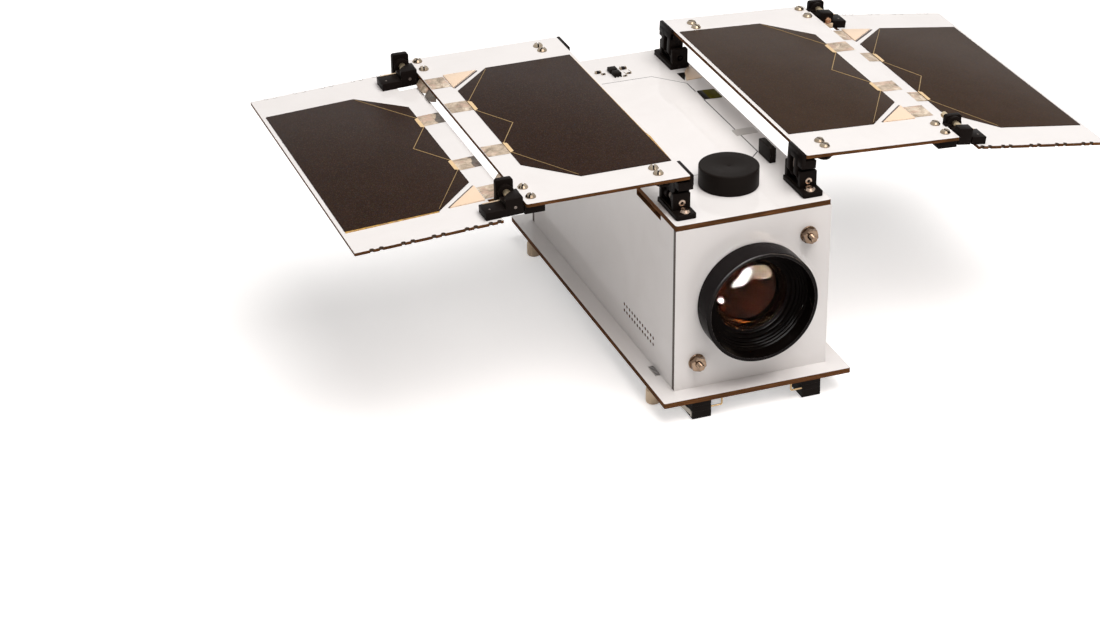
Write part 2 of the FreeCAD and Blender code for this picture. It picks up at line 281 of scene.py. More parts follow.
def makeFoil(name, shades, shine):    # crinkled contact foil; colour runs dark in the folds and bright on the ridges of the crumple relief: painted shade and painted highlight
    m, tree, shader = newMaterial(name, Specular_IOR_Level=0.5)
    where = objectPlace(tree)
    crease = texture(tree, "Voronoi", where, dict(feature="DISTANCE_TO_EDGE"), "Distance", Scale=430.0)
    crumple = texture(tree, "Noise", where, Scale=230.0, Detail=5.0, Roughness=0.58, Distortion=1.3)
    hue = texture(tree, "Noise", where, Scale=330.0, Detail=1.0)
    pinkish = tuple(c * f for c, f in zip(shades[2], (1.05, 0.84, 0.86)))
    # the ramp follows the same crumple noise as the relief: painted shade in the folds, painted highlight on
    # the ridges
    colour = ramp(tree, crumple, (0.32, 0.44, 0.55, 0.68), shades)
    colour = mix(tree, spread(tree, hue, 0.0, 0.5, 0.50, 0.62), colour, pinkish)
    # painted shade along the crease lines
    colour = mix(tree, spread(tree, crease, 0.4, 0.0, 0.0, 0.05), colour, shades[0])
    feed(tree, shader, Base_Color=colour, Metallic=spread(tree, crumple, *shine),
         Roughness=spread(tree, crumple, 0.30, 0.5))
    relief(tree, shader, calc(tree, "ADD", crumple, times(tree, crease, 3.0)), 0.8, 0.00012)
    return m


def makePeach():    # bare ceramic corner diode
    look = dict(light=(0.88, 0.69, 0.51), dark=(0.83, 0.63, 0.45), speck=(0.30, 0.19, 0.12),
                edge=(0.42, 0.25, 0.15))
    m, tree, shader = newMaterial("diodePeach", Coat_Weight=0.2, Coat_Roughness=0.3)
    grain = placeGroup(tree, fineGrain, Scale=2400.0, Contrast=0.7)
    marks = placeGroup(tree, handlingMarks, Scale=210.0, Amount=1.0)
    worn = placeGroup(tree, edgeWear, Width=0.0004, Amount=0.8, Breakup=1300.0)
    colour = mix(tree, grain["Large"], look["light"], look["dark"])
    colour = mix(tree, times(tree, marks["Specks"], 0.6), colour, look["speck"])
    colour = mix(tree, worn["Mask"], colour, look["edge"])
    feed(tree, shader, Base_Color=colour, Roughness=spread(tree, grain["Value"], 0.35, 0.5))
    relief(tree, shader, grain["Value"], 0.2)
    return m


def makeMetal(name, light, dark, roughness):
    m, tree, shader = newMaterial(name, Specular_IOR_Level=0.5)
    grain = placeGroup(tree, fineGrain, Scale=5200.0, Contrast=1.0)
    marks = placeGroup(tree, handlingMarks, Scale=320.0, Amount=1.0)
    worn = placeGroup(tree, edgeWear, Width=0.00012, Amount=0.7, Breakup=2200.0)
    colour = mix(tree, grain["Large"], light, dark)
    colour = mix(tree, times(tree, marks["Smudge"], 0.5), colour, dark)
    colour = mix(tree, worn["Mask"], colour, tuple(min(1.0, c * 1.35) for c in light))
    feed(tree, shader, Base_Color=colour, Metallic=spread(tree, marks["Smudge"], 1.0, 0.82),
         Roughness=spread(tree, grain["Value"], *roughness))
    relief(tree, shader, grain["Value"], 0.3)
    return m


def makeFrontGlass():
    m, tree, shader = newMaterial("frontGlass", Metallic=0.0, Transmission_Weight=1.0, IOR=1.11,
                                  Specular_Tint=(1.0, 0.97, 0.93, 1))
    marks = placeGroup(tree, handlingMarks, Scale=60.0, Amount=0.5)
    colour = mix(tree, marks["Specks"], (0.44, 0.36, 0.27), (0.38, 0.31, 0.23))
    feed(tree, shader, Base_Color=colour, Roughness=spread(tree, marks["Smudge"], 0.0, 0.008))
    return m


def makeCoatedGlass():    # the element behind, with its amber coating
    m, tree, shader = newMaterial("coatedGlass", Metallic=0.0, Specular_IOR_Level=0.016,
                                  Specular_Tint=(1.0, 0.58, 0.26, 1))
    grain = placeGroup(tree, fineGrain, Scale=300.0, Contrast=0.4)
    colour = mix(tree, grain["Large"], (0.0040, 0.0012, 0.0006), (0.0085, 0.0030, 0.0012))
    feed(tree, shader, Base_Color=colour, Roughness=spread(tree, grain["Value"], 0.13, 0.17))
    return m


def makePlain(name, one, two, roughness, scale=1800.0, depth=0.2, coat=0.0, wornColour=None):
    m, tree, shader = newMaterial(name, Coat_Weight=coat, Coat_Roughness=0.2)
    grain = placeGroup(tree, fineGrain, Scale=scale, Contrast=0.9)
    colour = mix(tree, grain["Large"], one, two)
    if wornColour:
        worn = placeGroup(tree, edgeWear, Width=0.0002, Amount=0.6, Breakup=1500.0)
        colour = mix(tree, worn["Mask"], colour, wornColour)
    feed(tree, shader, Base_Color=colour, Roughness=spread(tree, grain["Value"], *roughness))
    relief(tree, shader, grain["Value"], depth)
    return m


paint = dict(
    mask=makeWhiteMask(),
    edge=makeLaminateEdge(),
    hinge=makeBlack("hingeBlack", (0.0066, 0.0048, 0.0042), (0.0115, 0.0082, 0.0070), (0.32, 0.46),
                    (0.060, 0.042, 0.034), 0.35, 2400.0, 0.25, 0.025),
    hood=makeBlack("hoodBlack", (0.0085, 0.0074, 0.0076), (0.0120, 0.0102, 0.0102), (0.20, 0.30),
                   (0.20, 0.17, 0.165), 0.85, 3400.0, 0.10, 0.016),
    # black of the lens bore, also laid on screw slot floors as painted shade
    bore=makeBlack("boreBlackAndSlotShade", (0.0020, 0.0013, 0.0011), (0.0034, 0.0024, 0.0021), (0.11, 0.16),
                   (0.02, 0.017, 0.015), 0.3, 3000.0, 0.05, 0.013),
    knob=makeBlack("knobBlack", (0.0085, 0.0066, 0.0058), (0.013, 0.0100, 0.0085), (0.40, 0.52),
                   (0.06, 0.047, 0.038), 0.4, 4200.0, 0.30, 0.035),
    case=makeBlack("caseBlack", (0.0095, 0.0075, 0.0065), (0.014, 0.011, 0.0095), (0.36, 0.50),
                   (0.08, 0.068, 0.06), 0.35, 2000.0, 0.3, 0.030),
    olive=makeBlack("olivePad", (0.050, 0.042, 0.0015), (0.095, 0.080, 0.0025), (0.5, 0.7),
                    (0.10, 0.085, 0.01), 0.1, 900.0, 0.3, 0.04),
    cell=makeCellGlass("cellGlass", (0.0190, 0.0096, 0.0064), (0.0300, 0.0155, 0.0106)),
    # a lighter copy of the cell glass for the right wing: painted sheen
    cellWarm=makeCellGlass("cellGlassPaintedSheen", (0.0330, 0.0195, 0.0125), (0.0490, 0.0300, 0.0205)),
    gold=makeGold("busGold", (0.30, 0.185, 0.060), (0.50, 0.33, 0.125)),
    goldPad=makeGold("padGold", (0.74, 0.50, 0.25), (0.88, 0.66, 0.38)),
    goldEdge=makeGold("edgePlating", (0.022, 0.010, 0.004), (0.060, 0.030, 0.010)),
    amber=makeAmber(),
    foil=makeFoil("contactFoil", [(0.22, 0.165, 0.108), (0.44, 0.345, 0.250), (0.60, 0.485, 0.365),
                                  (0.80, 0.69, 0.55)], (0.10, 0.40)),
    # a darker copy of the foil: painted shadow, for the tab ends in the higher panel's shadow and one curl in
    # the gap
    foilShade=makeFoil("foilWithPaintedShadow", [(0.060, 0.050, 0.040), (0.11, 0.092, 0.074), (0.17, 0.142, 0.115),
                                      (0.30, 0.25, 0.20)], (0.3, 0.6)),
    peach=makePeach(),
    nickel=makeMetal("nickelPlate", (0.58, 0.45, 0.36), (0.24, 0.175, 0.130), (0.14, 0.26)),
    nut=makeMetal("rodNickel", (0.40, 0.285, 0.200), (0.080, 0.052, 0.036), (0.10, 0.20)),
    screw=makeMetal("panelScrew", (0.56, 0.46, 0.34), (0.16, 0.118, 0.080), (0.14, 0.26)),
    copper=makeMetal("copperScrew", (0.62, 0.36, 0.22), (0.22, 0.10, 0.05), (0.14, 0.26)),
    steelDark=makeMetal("darkSteel", (0.20, 0.17, 0.15), (0.10, 0.08, 0.07), (0.28, 0.42)),
    steel=makeMetal("leverSteel", (0.60, 0.56, 0.50), (0.38, 0.34, 0.29), (0.24, 0.40)),
    brass=makeMetal("springBrass", (0.60, 0.44, 0.25), (0.36, 0.24, 0.12), (0.22, 0.38)),
    brassPale=makeMetal("palePin", (0.74, 0.62, 0.43), (0.50, 0.39, 0.24), (0.26, 0.40)),
    glass=makeFrontGlass(),
    coated=makeCoatedGlass(),
    nylon=makePlain("footNylon", (0.66, 0.50, 0.33), (0.74, 0.59, 0.42), (0.38, 0.55), 1500.0, 0.3, 0.1,
                    (0.62, 0.52, 0.38)),
    # dark seam on the end panels' edges; beside each diode it is partly a painted shadow
    seam=makePlain("darkSeamAndDiodeShadow", (0.040, 0.026, 0.022), (0.070, 0.048, 0.040), (0.5, 0.7)),
    line=makePlain("fineLine", (0.050, 0.050, 0.056), (0.085, 0.085, 0.092), (0.5, 0.65)),
    grey=makePlain("greyPad", (0.40, 0.38, 0.36), (0.50, 0.48, 0.46), (0.35, 0.5), 1300.0, 0.4, 0.2),
    inside=makePlain("boardMass", (0.05, 0.09, 0.06), (0.09, 0.13, 0.09), (0.45, 0.7), 900.0, 0.5),
)
print("materials", len(paint))


# outlines

def rounded(points, radius, steps=4, closed=True):
    out, count = [], len(points)
    for i, p in enumerate(points):
        here = Vector(p)
        r = radius[i] if isinstance(radius, list) else radius
        back, ahead = Vector(points[i - 1]) - here, Vector(points[(i + 1) % count]) - here
        reach = min(r, back.length * 0.49, ahead.length * 0.49)
        if reach <= 1e-6 or (not closed and i in (0, count - 1)):
            out.append(tuple(here))
            continue
        a, b = here + back.normalized() * reach, here + ahead.normalized() * reach
        for t in [k / steps for k in range(steps + 1)]:
            out.append(tuple(a * (1 - t) ** 2 + here * 2 * t * (1 - t) + b * t * t))
    return out


def rectangle(x0, x1, y0, y1):
    return [(x0, y0), (x1, y0), (x1, y1), (x0, y1)]


def roundedBox(x0, x1, y0, y1, radius, steps=4):
    return rounded(rectangle(x0, x1, y0, y1), radius, steps)


def arc(x, y, r, start, end, steps=12):
    turns = [radians(start + (end - start) * k / steps) for k in range(steps + 1)]
    return [(x + r * cos(a), y + r * sin(a)) for a in turns]


def circle(x, y, r, steps=24):
    return arc(x, y, r, 0, 360, steps)[:-1]


def turnTo(axis):
    ways = dict(z=lambda u, v, w: (u, v, w), y=lambda u, v, w: (u, w, v), x=lambda u, v, w: (w, u, v))
    return ways[axis]


# solids: each helper adds one to a bmesh, in millimetres

def newFaces(bm, old):
    return [f for f in bm.faces if f not in old]


def settle(bm, old, mat=None):    # outward normals and the finish for what was added
    faces = newFaces(bm, old)
    if mat is not None:
        for f in faces:
            f.material_index = mat
    bmesh.ops.recalc_face_normals(bm, faces=faces)


def joinRings(bm, rings):
    for a, b in zip(rings, rings[1:]):
        for k in range(len(a)):
            bm.faces.new((a[k - 1], a[k], b[k], b[k - 1]))


def closeEnds(bm, rings):
    bm.faces.new(rings[0])
    bm.faces.new(rings[-1])


def bevelNew(bm, old, size, steps, sharp=30):
    bm.normal_update()
    edges = [e for e in bm.edges if len(e.link_faces) == 2 and all(f not in old for f in e.link_faces)
             and e.calc_face_angle(0) > radians(sharp)]
    bmesh.ops.bevel(bm, geom=edges, offset=size, offset_type="OFFSET", segments=steps, profile=0.5,
                    affect="EDGES", clamp_overlap=True, material=-1)


def addPrism(bm, outline, low, high, axis="z", mat=0, rim=None, bevel=0.0, steps=2, holes=()):
    to = turnTo(axis)
    old = set(bm.faces)
    loops = [outline, *holes]
    levels = [[[bm.verts.new(to(u, v, w)) for u, v in loop] for loop in loops] for w in (low, high)]
    for level in levels:
        if holes:
            edges = [bm.edges.new((ring[k - 1], ring[k])) for ring in level for k in range(len(ring))]
            bmesh.ops.triangle_fill(bm, use_beauty=True, use_dissolve=False, edges=edges)
        else:
            bm.faces.new(level[0])
    for f in newFaces(bm, old):
        f.material_index = mat
    caps = set(bm.faces)
    for below, above in zip(*levels):
        joinRings(bm, [below, above])
    for f in newFaces(bm, caps):
        f.material_index = mat if rim is None else rim
    settle(bm, old)
    if bevel:
        bevelNew(bm, old, bevel, steps)


def addBox(bm, x, y, z, mat=0, bevel=0.0, steps=2):
    addPrism(bm, rectangle(*x, *y), z[0], z[1], "z", mat, None, bevel, steps)


def addLathe(bm, profile, centre, axis="y", turns=96, mat=0, mats=None):
    # profile is place along the axis, radius
    to = turnTo(axis)
    old = set(bm.faces)
    cu, cv, cw = centre
    rings = []
    for w, r in profile:
        around = [2 * pi * k / turns for k in range(turns if r > 1e-5 else 1)]
        rings.append([bm.verts.new(to(cu + r * cos(a), cv + r * sin(a), cw + w)) for a in around])
    pairs = list(zip(range(len(rings) - 1), range(1, len(rings))))
    if len(rings[0]) > 1 and len(rings[-1]) > 1 and profile[0] != profile[-1]:
        pairs.append((len(rings) - 1, 0))
    for a, b in pairs:
        one, two = rings[a], rings[b]
        for k in range(turns):
            j = (k + 1) % turns
            corners = (one[k % len(one)], one[j % len(one)], two[j % len(two)], two[k % len(two)])
            corners = list(dict.fromkeys(corners))
            if len(corners) > 2:
                bm.faces.new(corners).material_index = mats[a] if mats else mat
    settle(bm, old)


def addTube(bm, points, radius, sides=10):
    old = set(bm.faces)
    pts = [Vector(p) for p in points]
    tangents = [(pts[min(k + 1, len(pts) - 1)] - pts[max(k - 1, 0)]).normalized() for k in range(len(pts))]
    normal = tangents[0].orthogonal().normalized()
    around = [2 * pi * k / sides for k in range(sides)]
    rings = []
    for p, t in zip(pts, tangents):
        normal = (normal - t * normal.dot(t)).normalized()
        side = t.cross(normal)
        rings.append([bm.verts.new(p + (normal * cos(a) + side * sin(a)) * radius) for a in around])
    joinRings(bm, rings)
    closeEnds(bm, rings)
    settle(bm, old, 0)


def addTrace(bm, points, width, low, high, mat=0, crown=0.6):
    # flat line on a board, narrower at its top by crown
    old = set(bm.faces)
    pts = [Vector(p) for p in points]
    widths = width if isinstance(width, list) else [width] * len(pts)
    ways = [(b - a).normalized() for a, b in zip(pts, pts[1:])]
    rows = []
    for p, wide, came, goes in zip(pts, widths, ways[:1] + ways, ways + ways[-1:]):
        along = (came + goes).normalized()
        across = Vector((-along.y, along.x)) / max(0.4, along.dot(came)) * wide / 2
        rows.append([bm.verts.new((p.x + across.x * s, p.y + across.y * s, z))
                     for s, z in ((-1, low), (-crown, high), (crown, high), (1, low))])
    joinRings(bm, rows)
    closeEnds(bm, rows)
    settle(bm, old, mat)


def addPanHead(bm, centre, radius, height, slot, turn):
    # flat disc, then a half head on each side of the slot; the floor of the slot takes the second finish, a
    # near-black one: painted shade in the slot
    x, y, z = centre
    rim, taper = 0.985, 0.729
    drop = height * 0.35
    disc = [(0, 0), (0, radius * 0.96), (drop * 0.25, radius), (drop, radius * rim), (drop, 0)]
    addLathe(bm, disc, (x, y, z), "z", 28, 0, [0, 0, 0, 1])
    low = degrees(asin(slot / 2 / radius))
    for start in (turn, turn + 180):
        old = set(bm.verts)
        addPrism(bm, arc(x, y, radius * rim, start + low, start + 180 - low, 14), z + drop - 0.02, z + height)
        for v in bm.verts:
            if v not in old and v.co.z > z + height - 1e-4:
                v.co.x, v.co.y = x + (v.co.x - x) * taper, y + (v.co.y - y) * taper


def addHexNut(bm, centre, across, low, high, axis, bore, turn):
    # six flats, whose corners are turned off at both faces
    to = turnTo(axis)
    old = set(bm.faces)
    cu, cv = centre
    flat, turns = across / 2, 72
    rings = [[] for _ in range(6)]
    for k in range(turns):
        corner = flat / cos(radians((360 * k / turns + 30) % 60 - 30))
        chamfer = 0.05 + (corner - flat) * 0.58
        spots = [(low, bore), (low, flat * 0.97), (low + chamfer, corner), (high - chamfer, corner),
                 (high, flat * 0.95), (high, bore)]
        a = 2 * pi * k / turns + radians(turn)
        for ring, (w, r) in zip(rings, spots):
            ring.append(bm.verts.new(to(cu + r * cos(a), cv + r * sin(a), w)))
    joinRings(bm, rings + rings[:1])
    settle(bm, old, 0)


def addThread(bm, centre, radius, low, high, pitch):    # along y, with tapered ends
    old = set(bm.faces)
    x, z = centre
    turns, depth = 28, 0.20
    count = max(6, int((high - low) / pitch * 7))
    rings = []
    for i in range(count + 1):
        y = low + (high - low) * i / count
        ease = min(1.0, min(y - low, high - y) / (pitch * 0.7))
        ring = []
        for k in range(turns):
            a = 2 * pi * k / turns
            phase = (y / pitch - k / turns) % 1.0
            r = radius * (0.84 + 0.16 * ease) - depth * abs(phase - 0.5) * 2 * (0.35 + 0.65 * ease)
            ring.append(bm.verts.new((x + r * cos(a), y, z + r * sin(a))))
        rings.append(ring)
    joinRings(bm, rings)
    closeEnds(bm, rings)
    settle(bm, old, 0)


def turnAbout(point, angle, axis):
    at = Matrix.Translation(point)
    return at @ Matrix.Rotation(radians(angle), 4, axis) @ at.inverted()


def wingTurn(side, tip=False):    # everything on a wing is drawn level on the right
    (px, pz), (tx, tz) = wing["pin"], wing["tipPin"]
    first, second = wing["sag"][side]
    turn = turnAbout((px, 0, pz), first, "Y")
    if tip:
        turn = turn @ turnAbout((tx, 0, tz), second, "Y")
    return mirror[side] @ turn


def finishPiece(bm, name, mats, rides, replaces=None, turn=None, sharp=35):
    if turn is not None:
        bm.transform(turn)
        if turn.determinant() < 0:
            bmesh.ops.reverse_faces(bm, faces=bm.faces[:])
    bm.transform(toFrame)
    mesh = bpy.data.meshes.new(name)
    bm.to_mesh(mesh)
    bm.free()
    mesh.shade_smooth()
    mesh.set_sharp_from_angle(angle=radians(sharp))
    for m in mats:
        mesh.materials.append(paint[m])
    piece = bpy.data.objects.new(name, mesh)
    bpy.context.scene.collection.objects.link(piece)
    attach(piece, rides)
    if replaces:
        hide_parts(replaces)
    return piece


# boards of the body

def makeBasePlate():
    holes = dict(places=[(-16.8, 112), (16.8, 112), (0, 118)], radius=0.9)
    outline = roundedBox(-base["half"], base["half"], base["front"], base["front"] + base["long"], 0.5)
    drilled = [circle(x, y, holes["radius"]) for x, y in holes["places"]]
    bm = bmesh.new()
    addPrism(bm, outline, -body["board"], 0, rim=1, holes=drilled)
    finishPiece(bm, "basePlate", ["mask", "edge"], "body", "base_plate")


def makeTopPanel():
    outline = roundedBox(-body["half"], body["half"], 0, body["long"], 1.1, 6)
    bm = bmesh.new()
    addPrism(bm, outline, body["top"] - body["board"], body["top"], rim=1)
    finishPiece(bm, "topPanel", ["mask", "edge"], "body", "top_panel")


def makeSidePanels():
    vents = dict(front=15.7, pitch=2.03, count=12, rows=(9.2, 7.15), radius=0.52)
    notch = dict(start=11.0, end=29.0, low=49.1)
    half, board, high = body["half"], body["board"], body["top"] - body["board"]
    start, end, low, rear = notch["start"], notch["end"], notch["low"], body["long"] - board
    outline = [(board, 0), (rear, 0), (rear, high), (end, high), (end, low), (start, low), (start, high),
               (board, high)]
    holes = [circle(vents["front"] + vents["pitch"] * k, z, vents["radius"], 12)
             for k in range(vents["count"]) for z in vents["rows"]]
    for side in ("left", "right"):
        bm = bmesh.new()
        addPrism(bm, outline, half - board, half, "x", rim=1, holes=holes)
        finishPiece(bm, side + "SidePanel", ["mask", "edge"], "body", side + "_side_panel",
                    mirror[side])


def makeEndPanels():
    hole = dict(rod=1.1, lens=13.3, rear=0.6, rearPlaces=[(x, 13.0) for x in (-9, -3, 3, 9)])
    rodHoles = [circle(x, z, hole["rod"]) for x, z in rods.values()]
    lensHole = [circle(0, lens["z"], hole["lens"], 64)]
    rearHoles = [circle(x, z, hole["rear"], 12) for x, z in hole["rearPlaces"]]
    high = body["top"] - body["board"]
    for end, y, holes in (("front", 0.0, lensHole), ("rear", body["long"] - body["board"], rearHoles)):
        bm = bmesh.new()
        outline = roundedBox(-body["half"], body["half"], 0, high, 0.25, 2)
        addPrism(bm, outline, y, y + body["board"], "y", rim=1, holes=rodHoles + holes)
        bm.normal_update()
        for f in bm.faces:    # the long side edges are stained dark
            if f.material_index == 1 and abs(f.normal.x) > 0.9:
                f.material_index = 2
        finishPiece(bm, end + "Panel", ["mask", "edge", "seam"], "body", end + "_panel")


def makeLedgePad():    # pad with fine lines on the base plate's ledge
    pad = dict(x=(-25.35, -23.75), y=(9.8, 15.8), high=0.12)
    lines = dict(count=7, x=(-25.15, -23.8), first=10.2, pitch=0.78, wide=0.35, z=(0.1, 0.2))
    bm = bmesh.new()
    addPrism(bm, roundedBox(*pad["x"], *pad["y"], 0.2), 0.0, pad["high"], bevel=0.03)
    for k in range(lines["count"]):
        y = lines["first"] + lines["pitch"] * k
        addBox(bm, lines["x"], (y, y + lines["wide"]), lines["z"], 1, 0.02)
    finishPiece(bm, "ledgePad", ["grey", "line"], "body")


def makeBody():
    makeBasePlate()
    makeTopPanel()
    makeSidePanels()
    makeEndPanels()
    makeLedgePad()
    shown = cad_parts["board_stack"]
    shown.data.materials.clear()
    shown.data.materials.append(paint["inside"])
    print("body boards")


# threaded rods, with a washer and a nut at each end

def makeRods():
    rod = dict(radius=1.0, core=0.85, reach=4.0, threadInside=2.0, pitch=0.4)
    nut = dict(across=4.2, thick=1.7, bore=1.02, turn=dict(Front=12, Rear=4))
    washer = dict(radius=2.55, thick=0.35, bore=1.05, edge=0.08)
    thick, bore, rim = washer["thick"], washer["bore"], washer["radius"]
    profile = [(0, bore), (0, rim), (thick * 0.8, rim), (thick, rim - washer["edge"]), (thick, bore)]
    long, inside, join = body["long"], rod["threadInside"], 0.1    # the core runs on into both threads
    core = [(inside - join, 0), (inside - join, rod["core"]), (long - inside + join, rod["core"]),
            (long - inside + join, 0)]
    for level, (x, z) in rods.items():
        bm = bmesh.new()
        addThread(bm, (x, z), rod["radius"], -rod["reach"], inside, rod["pitch"])
        addThread(bm, (x, z), rod["radius"], long - inside, long + rod["reach"], rod["pitch"])
        addLathe(bm, core, (x, z, 0), "y", 16)
        finishPiece(bm, level + "Rod", ["nut"], "body", level + "_rod")
        for end, face, way in (("Front", 0.0, -1), ("Rear", long, 1)):
            bm = bmesh.new()
            addLathe(bm, [(way * w, r) for w, r in profile], (x, z, face), "y", 48)
            low, high = sorted((face + way * thick, face + way * (thick + nut["thick"])))
            addHexNut(bm, (x, z), nut["across"], low, high, "y", nut["bore"], nut["turn"][end])
            finishPiece(bm, level + "Rod" + end + "Nut", ["nut"], "body")
    print("rods and nuts")


# lens; profiles are depth behind the front panel's face, radius

lens = dict(z=26.0, glass=10.9, bulge=3.0, glassEdge=0.6, glassBack=1.85, hollow=0.5, hollowRadius=10.4,
            inner=8.9)


def makeHood():
    steps = [(-7.5, 15.9), (-3.3, 15.6), (-3.3, 15.0), (-2.7, 14.9), (-2.7, 14.4), (-2.1, 14.3), (-2.1, 13.8),
             (-1.5, 13.7), (-1.5, 13.0), (-0.6, 12.9), (-0.6, 12.0), (-0.02, 12.0)]
    shell = [(-0.02, 16.85), (-0.4, hood["radius"]), (-hood["long"], hood["radius"]), (-hood["long"], 15.9)]
    bm = bmesh.new()
    outside = rounded(shell, [0, 0.3, 0.45, 0.9], 6, False)
    inside = rounded(steps, 0.16, 3, False)[1:]
    finishes = [0] * (len(outside) - 1) + [1] * (len(inside) + 1)
    addLathe(bm, outside + inside, (0, lens["z"], 0), "y", 160, 0, finishes)
    return finishPiece(bm, "lensHood", ["hood", "bore"], "body", "lens_hood", sharp=24)


def makeBarrel():    # seat of the front element, then a ring round the inner one
    seat = [(0.0, 12.95), (0.0, 12.0), (0.5, 12.0), (0.5, 11.0), (1.95, 11.0), (1.95, 10.5), (2.2, 10.3),
            (2.35, 10.25), (2.35, 9.9), (2.7, 9.75), (2.85, 9.7), (2.85, 9.3), (3.3, 9.1), (5.6, 8.95),
            (12.0, 6.0), (12.0, 0), (19.9, 0), (19.9, 12.95)]
    bm = bmesh.new()
    addLathe(bm, rounded(seat, 0.1, 2, False), (0, lens["z"], 0), "y", 128)
    return finishPiece(bm, "lensBarrel", ["bore"], "body", "lens_barrel", sharp=24)


def makeLensGlass():    # domed face, ground edge, slightly hollow back
    radius, bulge, back = lens["glass"], lens["bulge"], lens["glassBack"]
    ball = (radius ** 2 + bulge ** 2) / (2 * bulge)
    reach = lens["hollowRadius"]
    faceRadii = [radius * k / 32 for k in range(33)]
    backRadii = [reach * (1 - k / 14) for k in range(15)]
    dome = [(lens["glassEdge"] - bulge + ball - (ball ** 2 - r ** 2) ** 0.5, r) for r in faceRadii]
    cup = [(back - lens["hollow"] * (1 - (r / reach) ** 2), r) for r in backRadii]
    bm = bmesh.new()
    addLathe(bm, dome + [(back, radius)] + cup, (0, lens["z"], 0), "y", 112)
    return finishPiece(bm, "lensGlass", ["glass"], "body", "lens_glass")


def makeRingGlints():    # short copper arcs on the rings behind the glass, placed where the highlights fall: painted glints
    # radius, depth, first and last angle
    spots = [(8.75, 2.93, 242, 262), (9.15, 2.93, 250, 275), (9.6, 2.62, 205, 222)]
    bm = bmesh.new()
    for r, depth, start, end in spots:
        turns = [radians(a) for a in range(start, end, 2)]
        addTube(bm, [(r * cos(a), depth, lens["z"] + r * sin(a)) for a in turns], 0.075, 8)
    return finishPiece(bm, "ringGlintArcs", ["copper"], "body")


def makeInnerElement():
    front, back, curve, reach = 3.0, 6.2, 0.020, lens["inner"]
    cup = [(front + curve * r * r, r) for r in [reach * k / 24 for k in range(25)]]
    bm = bmesh.new()
    addLathe(bm, cup + [(back, reach), (back, 0)], (0, lens["z"], 0), "y", 112)
    return finishPiece(bm, "innerElement", ["coated"], "body")


def makeLens():
    # gives the pieces that the gloss lamps light: the whole lens, and its front glass alone
    whole = [make() for make in (makeHood, makeBarrel, makeLensGlass, makeRingGlints, makeInnerElement)]
    lit = {}
    for name, pieces in dict(lens=whole, glass=whole[2:3]).items():
        lit[name] = bpy.data.collections.new(name + "Set")
        for piece in pieces:
            lit[name].objects.link(piece)
    print("lens")
    return lit


# on the top panel

def makeKnob():
    knob = dict(x=0.6, y=19.6)
    # height, radius: a straight side, a soft rim and a dished top
    side = [(0.0, 0.0), (0.0, 8.45), (0.25, 8.7), (5.85, 8.7), (6.06, 8.60), (6.2, 8.32), (6.2, 7.3),
            (6.19, 6.2), (6.14, 5.1), (5.98, 3.5), (5.78, 1.8), (5.62, 0.65), (5.50, 0.3), (5.47, 0.0)]
    bm = bmesh.new()
    addLathe(bm, rounded(side, 0.12, 3, False), (knob["x"], knob["y"], body["top"]), "z", 144)
    finishPiece(bm, "roundKnob", ["knob"], "body", "round_knob", sharp=30)


def makeSensorBlock():    # two leaves with a fine seam, on a low foot
    block = dict(left=(17.0, 17.95), right=(17.85, 19.0), y=(27.6, 35.6), high=4.6)
    z = body["top"]
    bm = bmesh.new()
    for leaf in ("left", "right"):
        addBox(bm, block[leaf], block["y"], (z, z + block["high"]), 0, 0.16, 3)
    addBox(bm, (17.15, 18.85), (27.75, 35.45), (z, z + 0.5), 0, 0.05)
    finishPiece(bm, "sensorBlock", ["case"], "body", "sensor_block")


def makeEmptyCellOutline():    # where no cell is fitted, the board shows the printed outline
    fine, bold = 0.22, 0.40
    lines = [([(-23.2, 98.2), (-7.4, 97.9), (8.9, 97.7), (17.05, 89.0)], fine),
             ([(17.05, 89.0), (17.1, 82.4)], bold * 0.9),
             ([(17.15, 75.9), (17.15, 36.4), (14.5, 33.7)], bold),
             ([(14.6, 33.8), (10.5, 29.4)], fine),
             ([(-23.2, 29.3), (-5.0, 28.3)], fine)]
    bm = bmesh.new()
    for points, width in lines:
        addTrace(bm, points, width, body["top"] - 0.01, body["top"] + 0.035)
    finishPiece(bm, "emptyCellOutline", ["line"], "body")


def makeTopChips():
    chips = [(-5.5, 106.0, 1.5, 1.1, 0.7), (-4.3, 104.4, 0.9, 0.7, 0.4), (2.9, 106.3, 1.7, 1.3, 0.7),
             (3.4, 102.4, 1.0, 0.7, 0.4), (1.5, 100.9, 0.9, 0.6, 0.3)]    # x, y, wide, long, high
    packages = [(-0.9, 105.6, 1.3), (-0.75, 102.5, 1.2)]    # x, y, half width
    wires = [[(4.2, 105.2), (4.5, 103.6), (3.9, 102.6)], [(2.2, 103.9), (2.6, 102.4), (1.7, 101.6)]]
    z = body["top"]
    bm = bmesh.new()
    for x, y, wide, long, high in chips:    # each with a metal end on both sides
        reach = long / 2
        addBox(bm, (x - wide * 0.27, x + wide * 0.27), (y - reach, y + reach), (z, z + high), 0, 0.06)
        reach += 0.03
        for end in (x - wide / 2, x + wide / 2):
            addBox(bm, (end - 0.18, end + 0.18), (y - reach, y + reach), (z, z + high + 0.04), 1, 0.09)
    for x, y, half in packages:
        addBox(bm, (x - half, x + half), (y - 1.35, y + 1.3), (z + 0.08, z + 1.3), 0, 0.14)
        for k in range(3):
            leg = x - 1.15 + 0.95 * k
            for end in (y - 1.45, y + 1.45):
                addBox(bm, (leg, leg + 0.4), (end - 0.25, end + 0.25), (z, z + 0.45), 0, 0.05)
    for points in wires:
        addTrace(bm, points, 0.3, z - 0.01, z + 0.06, 1)
    finishPiece(bm, "topChips", ["case", "screw"], "body")


